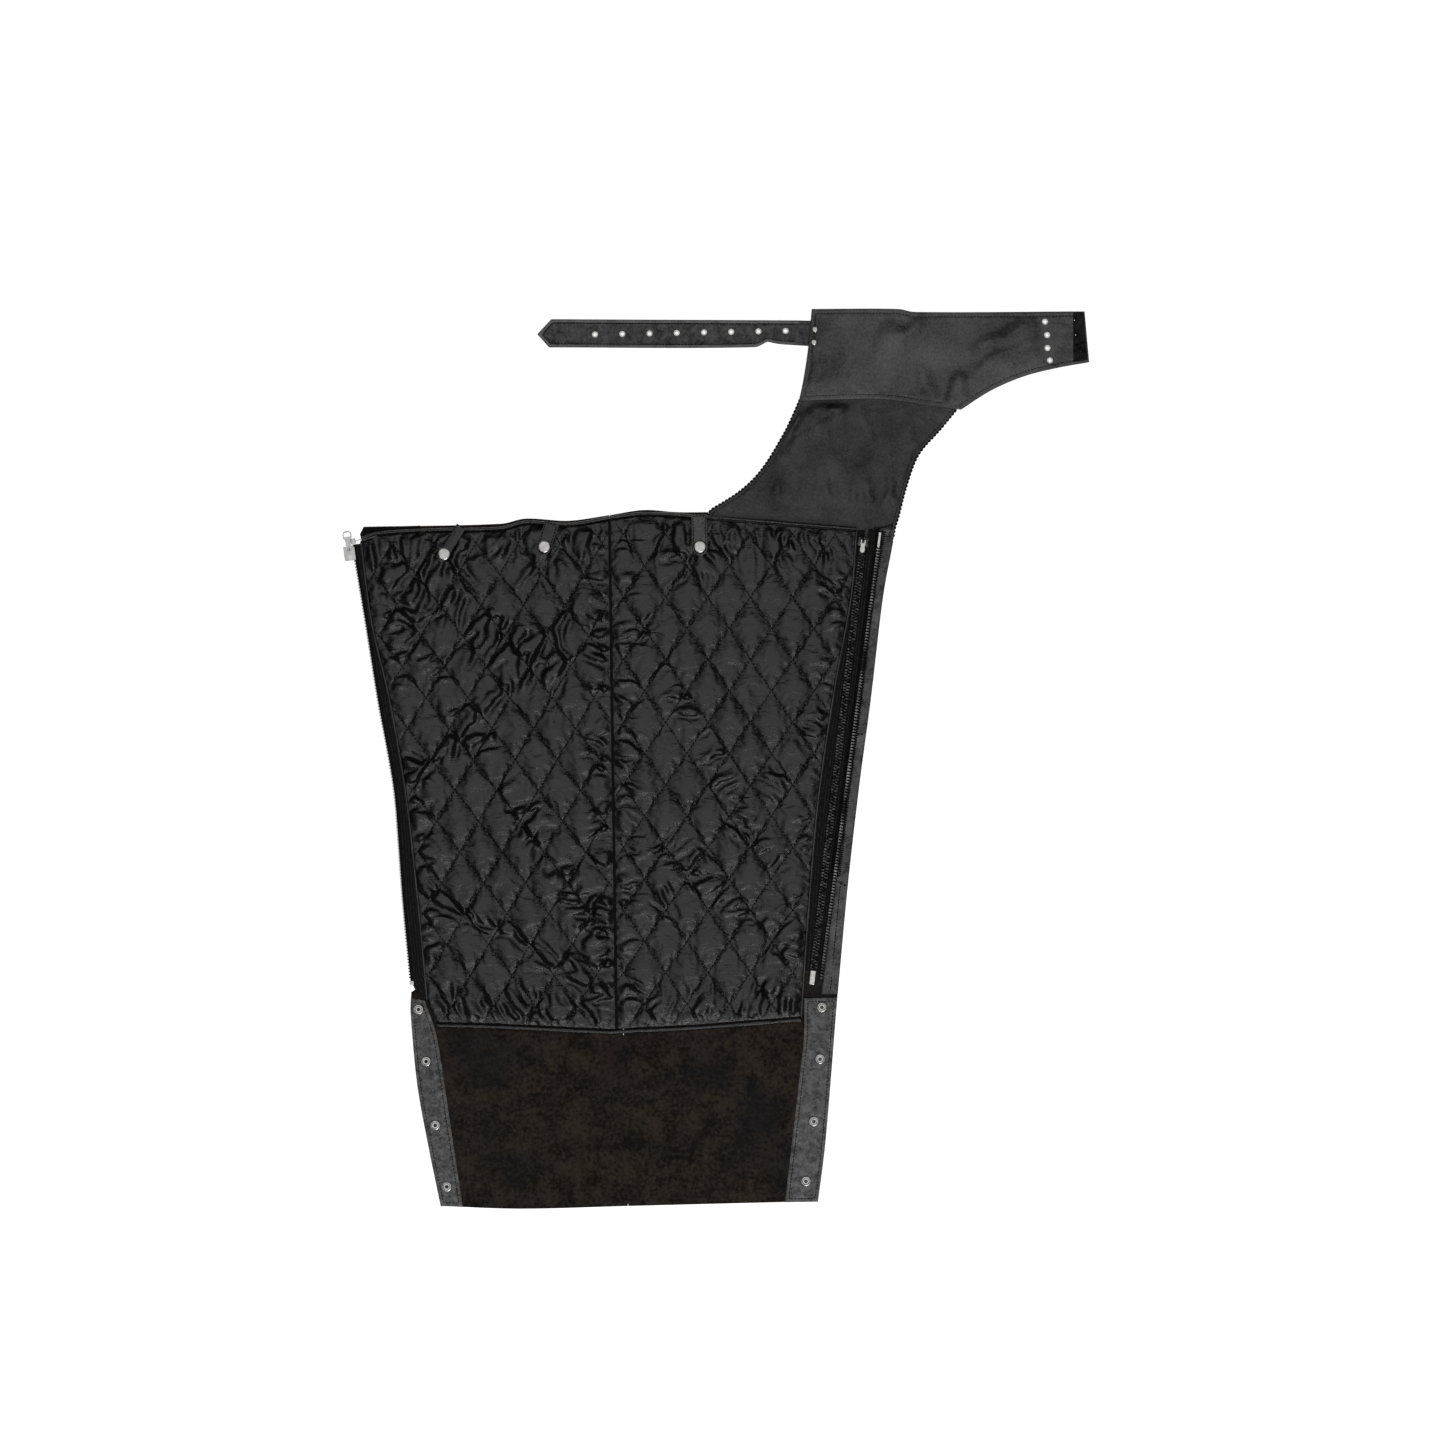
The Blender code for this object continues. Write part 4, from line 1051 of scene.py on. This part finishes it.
flats = {
    "snapFlapLeft": dict(node="snap_flap_left", body="left_half", top=3.1, thickness=1.3, rings=(0.7, 2.6, 0.9, 0.9),
                         stitch=4.0, cell=4.0, hemRise=0.25, material="flapLeather", slot="facing_leather"),
    "snapFlapRight": dict(node="snap_flap_right", body="right_half", top=3.1, thickness=1.3, rings=(0.7, 2.6, 0.9, 0.9),
                          stitch=4.0, cell=4.0, hemRise=0.25, material="flapLeather", slot="facing_leather"),
    "edgeFacing": dict(node="edge_facing", body="right_half", top=3.1, thickness=1.3, rings=(0.7, 2.0), stitch=1.6,
                       groove=0.0, wave=0.7, cell=3.5, material="facingLeather", slot="facing_leather"),
    "lacingEndFacing": dict(node="lacing_end_facing", body="waist", top=4.6, thickness=1.2, rings=(0.7, 1.8),
                            stitch=2.0, cell=3.0, material="hookTape", slot="suede_leather"),
}


def layFlat(name, look):
    outline = closedThrough(nodeOutline(look["node"]))
    piece = cutSheet(name, outline, look["rings"], look["cell"])
    flat = flatPlaces(piece)
    away, _ = toLine(flat, outline, closed=True)
    wave = within(away, 1, 9) * look.get("wave", 0.3) * (1 + ripple(flat, 24.0, len(name) * 0.7))
    setPlaces(piece, flat, hemmed(away, look["top"], look) + wave)
    solidify(piece, look["thickness"])
    dress(piece, look["material"])
    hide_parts(look["node"])
    declareSheet(outline)
    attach(piece, look["body"])
    return outline


flatEdges = {name: layFlat(name, look) for name, look in flats.items()}
print("flaps and facings laid")


# Zips: tapes, chains of teeth, stops, sliders and pulls

zips = dict(
    pitch=3.5, thickness=0.7, parts=6, step=3.0,
    left=dict(line=[(-422.5, 250.0), (-407.8, 162.2), (-392.3, 65.7), (-379.0, -5.3), (-372.9, -46.7),
                    (-368.6, -101.5), (-363.7, -167.0), (-354.9, -258.0)], middle=3.5, tape=3.9),
    right=dict(line=[(189.0, 246.0), (122.2, -258.0)], middle=3.2, tape=2.5),
    liner=dict(line=[(172.2, 259.0), (113.5, -246.0)], middle=4.1, tape=2.5),
)


def lengthAlong(line):
    return float(np.linalg.norm(np.diff(np.asarray(line, float), axis=0), axis=1).sum())


def layTape(name, first, second, top):  # a tape between two lines, with its own "along" map
    parts = zips["parts"]
    count = int(lengthAlong(first) / zips["step"])
    first, second = evenly(first, lengthAlong(first) / count), evenly(second, lengthAlong(second) / count)
    bm = bmesh.new()
    layer = bm.loops.layers.uv.new("along")
    rows = []
    for one, two in zip(first, second):
        rows.append([bm.verts.new((*(one + (two - one) * part / parts) * mm, top * mm))
                     for part in range(parts + 1)])
    widths = np.linalg.norm(second - first, axis=1)
    for row in range(len(rows) - 1):
        for part in range(parts):
            spots = [(row, part), (row + 1, part), (row + 1, part + 1), (row, part + 1)]
            face = bm.faces.new([rows[r][s] for r, s in spots])
            for loop, (r, s) in zip(face.loops, spots):
                loop[layer].uv = (r * zips["step"] * mm, widths[r] * s / parts * mm)
    bm.normal_update()
    if sum(face.normal.z for face in bm.faces) < 0:
        bmesh.ops.reverse_faces(bm, faces=bm.faces)
    piece = fromBmesh(bm, name)
    solidify(piece, zips["thickness"])
    dress(piece, "tape")
    return piece, np.vstack([first, second[::-1]])


def straight(ends, across=0.0):
    return beside(evenly(ends, 4.0), across)


def fromTop(points):
    return sorted(points, key=lambda point: -point[1])


leftChain = curveThrough(zips["left"]["line"], 2.0)
leftInner = fromTop([point for point in quiltEdges["Left"] if point[0] < -318 and -282 < point[1] < 252])
rightInner = fromTop([point for point in quiltEdges["Right"] if point[0] > 99 and -248 < point[1] < 266])
leftFoot = [(-350.0, -270.0), (-342.5, -281.0)]
rightFoot, linerFoot = zips["right"]["line"][1], zips["liner"]["line"][1]
tapes = {  # its outer and inner lines, and the CAD node and body
    "sideTapeLeft": (np.vstack([beside(leftChain, 1.2), leftFoot]), leftInner, "left", "side_zip_tape_left",
                     "left_half"),
    "sideTapeRight": (straight([(173.6, 269.0), linerFoot], -4.6), straight([(192.0, 269.0), rightFoot], 1.0),
                      "right", "side_zip_tape_right", "right_half"),
    "linerTape": (rightInner, straight([(173.2, 267.5), linerFoot], -1.0), "liner", "liner_zip_tape", "right_half"),
}
for name, (first, second, zipName, node, body) in tapes.items():
    piece, outline = layTape(name, np.array(first), np.array(second), zips[zipName]["tape"])
    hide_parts(node)
    declareSheet(outline)
    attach(piece, body)


def startEdit(piece, wanted):  # opens a piece in edit mode with the faces that wanted(face) picks selected
    bpy.ops.object.select_all(action="DESELECT")
    piece.select_set(True)
    bpy.context.view_layer.objects.active = piece
    bpy.ops.object.mode_set(mode="EDIT")
    bpy.ops.mesh.select_mode(type="FACE")
    bpy.ops.mesh.select_all(action="DESELECT")
    bpy.ops.object.mode_set(mode="OBJECT")
    for face in piece.data.polygons:
        face.select = bool(wanted(face))
    bpy.ops.object.mode_set(mode="EDIT")


def endEdit():
    bpy.ops.object.mode_set(mode="OBJECT")
    bpy.ops.object.select_all(action="DESELECT")


def addBlock(name, size, middle):  # sizes and place in millimetres
    bpy.ops.object.select_all(action="DESELECT")
    bpy.ops.mesh.primitive_cube_add(size=1, location=[value * mm for value in middle])
    piece = bpy.context.object
    piece.name = name
    piece.scale = [value * mm for value in size]
    bpy.ops.object.transform_apply(location=True, rotation=True, scale=True)
    return piece


def softened(piece, width, segments=2):
    bevel = piece.modifiers.new("edges", "BEVEL")
    bevel.width = width * mm
    bevel.segments = segments
    bevel.limit_method = "ANGLE"
    applyAll(piece)
    return piece


def makeTooth():  # across +x to its head, along y, up z
    tooth = addBlock("tooth", (4.2, 1.9, 2.9), (0.0, 0.0, 0.0))
    startEdit(tooth, lambda face: face.normal.x > 0.9)
    bpy.ops.transform.resize(value=(1, 0.72, 0.8), center_override=(2.1 * mm, 0, 0))
    endEdit()
    startEdit(tooth, lambda face: face.normal.z > 0.9)
    bpy.ops.mesh.inset(thickness=0.45 * mm)
    bpy.ops.transform.translate(value=(0.3 * mm, 0, -0.35 * mm))
    endEdit()
    return softened(tooth, 0.25, 1)


def alongLine(name, template, line, pitch, placed, material):  # copies of one shape down a line, as one mesh
    shape = np.empty(len(template.data.vertices) * 3)
    template.data.vertices.foreach_get("co", shape)
    shape = shape.reshape(-1, 3) / mm
    polygons = [tuple(face.vertices) for face in template.data.polygons]
    line = np.asarray(line, float)
    along = np.concatenate([[0], np.cumsum(np.linalg.norm(np.diff(line, axis=0), axis=1))])
    verts, faces = [], []
    for count in range(int(along[-1] / pitch)):
        distance = (count + 0.5) * pitch
        x, y = (np.interp(distance, along, line[:, axis]) for axis in range(2))
        ahead = [np.interp(distance + 1.0, along, line[:, axis]) - value for axis, value in enumerate((x, y))]
        dx, dy = np.array(ahead) / max(np.hypot(*ahead), 1e-9)
        across, up, side = placed(count)
        local = shape * (side, 1, 1) + (across, 0, up)
        base = len(verts) * len(shape)
        verts.append(np.column_stack([x - dy * local[:, 0] + dx * local[:, 1],
                                      y + dx * local[:, 0] + dy * local[:, 1], local[:, 2]]))
        faces += [tuple(base + corner for corner in (face if side > 0 else face[::-1])) for face in polygons]
    mesh = bpy.data.meshes.new(name)
    mesh.from_pydata((np.vstack(verts) * mm).tolist(), [], faces)
    piece = linked(name, mesh)
    mesh.shade_smooth()
    mesh.set_sharp_from_angle(angle=math.radians(40))
    return dress(piece, material)


tooth = makeTooth()
chains = {  # where the nth tooth stands: how far across, how high, and which way it faces
    "sideTeethLeft": (leftChain, zips["pitch"], lambda count: (-0.4, zips["left"]["middle"], -1), "blackTeeth",
                      "side_zip_chain_left", "left_half"),
    "sideTeethRight": (straight(zips["right"]["line"]), zips["pitch"],
                       lambda count: (0.4, zips["right"]["middle"], 1), "steelTeeth",
                       "side_zip_chain_right", "right_half"),
    "linerTeeth": (straight(zips["liner"]["line"]), zips["pitch"] / 2,
                   lambda count: (1.9 * (-1) ** count, zips["liner"]["middle"], (-1) ** (count + 1)), "gunmetal",
                   "liner_zip_chain", "right_half"),
}
for name, (line, pitch, placed, metal, node, body) in chains.items():
    piece = alongLine(name, tooth, line, pitch, placed, metal)
    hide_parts(node)
    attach(piece, body)
bpy.data.objects.remove(tooth)
leftBead = sweep("sideBeadLeft", beside(leftChain, -1.4), roundSection(1.7, 2.6, 4.9, 8))
rightBead = sweep("sideBeadRight", straight(zips["right"]["line"], 1.5), roundSection(1.7, 1.9, 4.3, 8))
for piece, body in ((leftBead, "left_half"), (rightBead, "right_half")):
    dress(piece, "tape")
    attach(piece, body)
print("zips sewn in")


def softNode(name, node, body, material, width):  # a CAD piece with its edges rounded
    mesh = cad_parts[node].data.copy()
    mesh.materials.clear()
    piece = linked(name, mesh)
    startEdit(piece, lambda face: True)
    bpy.ops.mesh.remove_doubles(threshold=0.00002)
    bpy.ops.mesh.dissolve_limited(angle_limit=math.radians(1))
    endEdit()
    softened(piece, width, 3)
    dress(piece, material)
    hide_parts(node)
    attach(piece, body)


for node, name, body, width in (
    ("side_zip_box", "sideZipBox", "left_half", 0.6), ("side_zip_stop", "sideZipStop", "left_half", 0.5),
    ("side_zip_pin", "sideZipPin", "right_half", 0.4), ("liner_zip_box", "linerZipBox", "right_half", 0.6),
    ("side_zip_slider", "sideZipSlider", "side_slider", 0.35), ("side_zip_pull", "sideZipPull", "side_pull", 0.25),
    ("liner_zip_slider", "linerZipSlider", "liner_slider", 0.35),
    ("liner_zip_pull", "linerZipPull", "liner_pull", 0.25),
):
    softNode(name, node, body, "gunmetal" if node == "liner_zip_slider" else "nickel", width)
foil = sweep("tapeFoil", evenly([(-422.0, 253.4), (-407.0, 258.6)], 1.5), flatSection(-0.6, 0.6, 3.9, 4.6, 2))
dress(foil, "nickel")
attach(foil, "left_half")


# Round hardware: caps, press studs, eyelets and rivets

def turnPiece(name, rings, ringShaped=False, sides=40):  # (radius, height) rings from a circle, extruded and scaled
    bpy.ops.object.select_all(action="DESELECT")
    radius, height = rings[0]
    bpy.ops.mesh.primitive_circle_add(vertices=sides, radius=radius * mm, location=(0, 0, height * mm))
    piece = bpy.context.object
    piece.name = name
    bpy.ops.object.transform_apply(location=True)
    bpy.ops.object.mode_set(mode="EDIT")
    bpy.ops.mesh.select_mode(type="VERT")
    bpy.ops.mesh.select_all(action="SELECT")
    for radiusNext, heightNext in rings[1:]:
        bpy.ops.mesh.extrude_region_move(TRANSFORM_OT_translate={"value": (0, 0, (heightNext - height) * mm)})
        bpy.ops.transform.resize(value=[radiusNext / radius, radiusNext / radius, 1], center_override=(0, 0, 0))
        radius, height = radiusNext, heightNext
    bpy.ops.mesh.select_all(action="DESELECT")
    bpy.ops.mesh.select_non_manifold()
    if ringShaped:
        bpy.ops.mesh.bridge_edge_loops()
    else:
        bpy.ops.mesh.fill_holes(sides=0)
    bpy.ops.mesh.select_all(action="SELECT")
    bpy.ops.mesh.normals_make_consistent(inside=False)
    bpy.ops.object.mode_set(mode="OBJECT")
    bpy.ops.object.shade_smooth_by_angle(angle=math.radians(35))
    bpy.ops.object.select_all(action="DESELECT")
    return piece


def arc(radius, height, bulge, parts=6):  # rings of a dome, from its rim to near its middle
    return [(radius * math.cos(turn), height + bulge * math.sin(turn))
            for turn in np.linspace(0, math.pi / 2 * 0.93, parts + 1)]


studRings = [(5.4, 3.45), (6.0, 3.6), (6.0, 4.0), (5.6, 4.6), (5.0, 4.95), (4.3, 5.0), (3.8, 4.7), (3.5, 4.2),
             (2.2, 4.1), (1.9, 4.35), (0.9, 4.4)]
hardware = {
    "snapCap": dict(rings=[(6.4, 9.55), (7.1, 9.6), (7.5, 10.0), *arc(7.35, 10.3, 1.75, 8)], nodes="snap_cap_{}",
                    bodies=["tab_1", "tab_2", "tab_3"]),
    "pressStudLeft": dict(rings=studRings, nodes="press_stud_left_{}", bodies=["left_half"] * 4, dark=2.3),
    "pressStudRight": dict(rings=studRings, nodes="press_stud_right_{}", bodies=["right_half"] * 4, dark=2.3),
    "strapEyelet": dict(rings=[(1.9, 0.15), (3.3, 0.2), (3.6, 0.45), (2.4, 0.6), (2.4, 3.3), (3.6, 3.55), (3.5, 3.9),
                               (2.8, 4.1), (2.1, 4.0), (1.9, 3.6)],
                        nodes="strap_eyelet_{}", bodies=["strap"] * 8, ring=True),
    "lacingEyelet": dict(rings=[(1.9, 1.05), (3.3, 1.1), (3.6, 1.35), (2.4, 1.5), (2.4, 3.2), (3.6, 3.45), (3.5, 3.8),
                                (2.8, 4.0), (2.1, 3.9), (1.9, 3.5)],
                         nodes="lacing_eyelet_{}", bodies=["waist"] * 4, ring=True),
    "strapRivet": dict(rings=[(1.4, 1.2), (1.4, 3.3), (3.7, 3.35), (3.95, 3.6), *arc(3.9, 3.8, 1.5, 6)],
                       nodes="strap_rivet_{}", bodies=["waist"] * 2),
}
for name, look in hardware.items():
    model = turnPiece(name, look["rings"], look.get("ring", False))
    for number, body in enumerate(look["bodies"], 1):
        node = look["nodes"].format(number)
        low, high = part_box(node)
        mesh = model.data.copy()
        middle = (low + high) / 2
        mesh.transform(Matrix.Translation((middle.x, middle.y, 0)))
        piece = linked(f"{name}{number}", mesh)
        dress(piece, "nickel", "gunmetal")
        for face in piece.data.polygons:  # the middle of a press stud, inside its dark radius, takes the dark metal
            gap = math.dist(face.center[:2], middle[:2]) / mm
            face.material_index = int(gap < look.get("dark", 0.0))
        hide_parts(node)
        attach(piece, body)
    bpy.data.objects.remove(model)
for number, (x, y) in enumerate([(417.7, 511.6), (419.2, 494.4)], 1):
    speck = turnPiece(f"endSpeck{number}", [(0.5, 4.2), (1.0, 4.8), (0.8, 5.4), (0.3, 5.7)], sides=12)
    speck.data.transform(Matrix.Translation((x * mm, y * mm, 0)))
    dress(speck, "nickel")
    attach(speck, "waist")
for number in (1, 2, 3):
    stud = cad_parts[f"snap_stud_{number}"]
    stud.data.materials.clear()
    stud.data.materials.append(materials["nickel"])
print("hardware set")


# Snap tabs

tabs = {
    "snapTab1": dict(node="snap_tab_1", body="tab_1", material="satin", slot="lining_satin"),
    "snapTab2": dict(node="snap_tab_2", body="tab_2", material="thighLeather", slot="grain_leather"),
    "snapTab3": dict(node="snap_tab_3", body="tab_3", material="yokeLeather", slot="grain_leather"),
}
tabCut = dict(top=9.2, thickness=1.4, rings=(0.5, 1.4, 0.5), stitch=1.9, cell=2.5, groove=0.3)
for name, look in tabs.items():
    flatEdges[name] = layFlat(name, {**look, **tabCut})


# Seams and stitching

seamThread = dict(pitch=3.8, stitchLength=3.1, thread=0.6)
edgeThread = dict(pitch=4.6, stitchLength=3.9, thread=1.5)
fineThread = dict(pitch=3.4, stitchLength=2.5, thread=0.32, colour="greyThread")
facingRun = beside(fromTop([point for point in flatEdges["edgeFacing"] if point[0] > 141]), 9.0)[2:-2]
seams = {
    "yokeStitches": ([inset(yokeEdge, 5.0)], 3.0, "grain_leather", "waist"),
    "facingStitches": ([facingRun], 3.6, "facing_leather", "right_half"),
    "flapStitchesLeft": ([inset(flatEdges["snapFlapLeft"], 4.0)], 3.1, "facing_leather", "left_half"),
    "flapStitchesRight": ([inset(flatEdges["snapFlapRight"], 4.0)], 3.1, "facing_leather", "right_half"),
    "facingJoint": ([[(157.5, 28.8), (171.5, 30.4)], [(157.5, 27.2), (171.5, 28.8)]], 3.6, "facing_leather",
                    "right_half"),
    "thighFootSeam": ([[(184.0, 270.2), (207.5, 270.8)]], 3.1, "grain_leather", "right_half"),
    "tabStitches2": ([inset(flatEdges["snapTab2"], 1.9)], 9.05, "grain_leather", "tab_2"),
    "tabStitches3": ([inset(flatEdges["snapTab3"], 1.9)], 9.05, "grain_leather", "tab_3"),
}
for name, (runs, height, slotName, body) in seams.items():
    sew(name, runs, height, seamThread, body)
bendAt(sew("thighStitches", [inset(thighEdge, 4.3)], 1.3, seamThread))
bendAt(sew("thighEdging", [inset(thighEdge, 0.5)], 1.1, edgeThread))
strapRun = inset(strapEdge, 4.2)
strapRun = strapRun[strapRun[:, 0] < 92]
strapRun = strapRun[np.argsort(np.arctan2(strapRun[:, 1] - 495.5, strapRun[:, 0] + 60))]
upper = strapRun[strapRun[:, 1] > 496]
lower = strapRun[strapRun[:, 1] <= 496]
sew("strapStitches", [upper[np.argsort(upper[:, 0])], lower[np.argsort(lower[:, 0])]], 3.1, seamThread,
    "strap")
shellRuns = [straight([(-113.8, -328.0), (-105.2, -519.0)]), straight([(-106.4, -328.0), (-97.6, -519.0)])]
bendAt(sew("shellSeamStitches", shellRuns, 1.75, fineThread))
shellSeam = sweep("shellSeam", evenly([(-110.3, -322.0), (-101.7, -519.0)], 4.0),
                  flatSection(-4.6, 4.6, 1.42, 1.9, 4, 0.25))
dress(shellSeam, "suede")
bendAt(shellSeam)
print("seams sewn")


# Floor, light and camera

studio = dict(middle=(7.6, 42.6), wide=1.686, lens=85.0, sensor=36.0, floor=60.0, floorGlow=0.68, ambient=0.025,
              lamps=[("lampOver", (0.0, 0.3, 4.6), 7.0, 150.0, (0.0, 0.0, 0.0)),
                     ("lampLow", (0.5, -2.6, 2.4), 1.2, 34.0, (0.82, 0.0, 0.2))])
bpy.ops.object.select_all(action="DESELECT")
bpy.ops.mesh.primitive_plane_add(size=studio["floor"], location=(0, 0, -0.5 * mm))
floor = bpy.context.object
floor.name = "floor"
paper, tree, skin, place = newMaterial("paper", 0.9, specular=0.2)  # lit from behind, like a light table
fleck = put(tree, "TexNoise", {"Vector": place, "Scale": 300.0, "Detail": 2.0}).outputs["Fac"]
tree.links.new(blendOf(tree, fleck, (0.88, 0.88, 0.88), (0.92, 0.92, 0.92)), skin.inputs["Base Color"])
skin.inputs["Emission Color"].default_value = (1, 1, 1, 1)
skin.inputs["Emission Strength"].default_value = studio["floorGlow"]
floor.data.materials.append(paper)

for name, spot, size, power, turn in studio["lamps"]:
    light = bpy.data.lights.new(name, "AREA")
    light.shape = "SQUARE"
    light.size = size
    light.energy = power
    lamp = linked(name, light)
    lamp.location = spot
    lamp.rotation_euler = turn
world = bpy.data.worlds.new("studio")
world.use_nodes = True
sky = world.node_tree.nodes["Background"].inputs
sky["Color"].default_value = (1, 1, 1, 1)
sky["Strength"].default_value = studio["ambient"]
bpy.context.scene.world = world
bpy.context.scene.view_settings.view_transform = "Standard"

lens = bpy.data.cameras.new("camera")
lens.lens, lens.sensor_width = studio["lens"], studio["sensor"]
camera = linked("camera", lens)
x, y = studio["middle"]
camera.location = (x * mm, y * mm, studio["wide"] * studio["lens"] / studio["sensor"])
bpy.context.scene.camera = camera

bpy.context.view_layer.update()
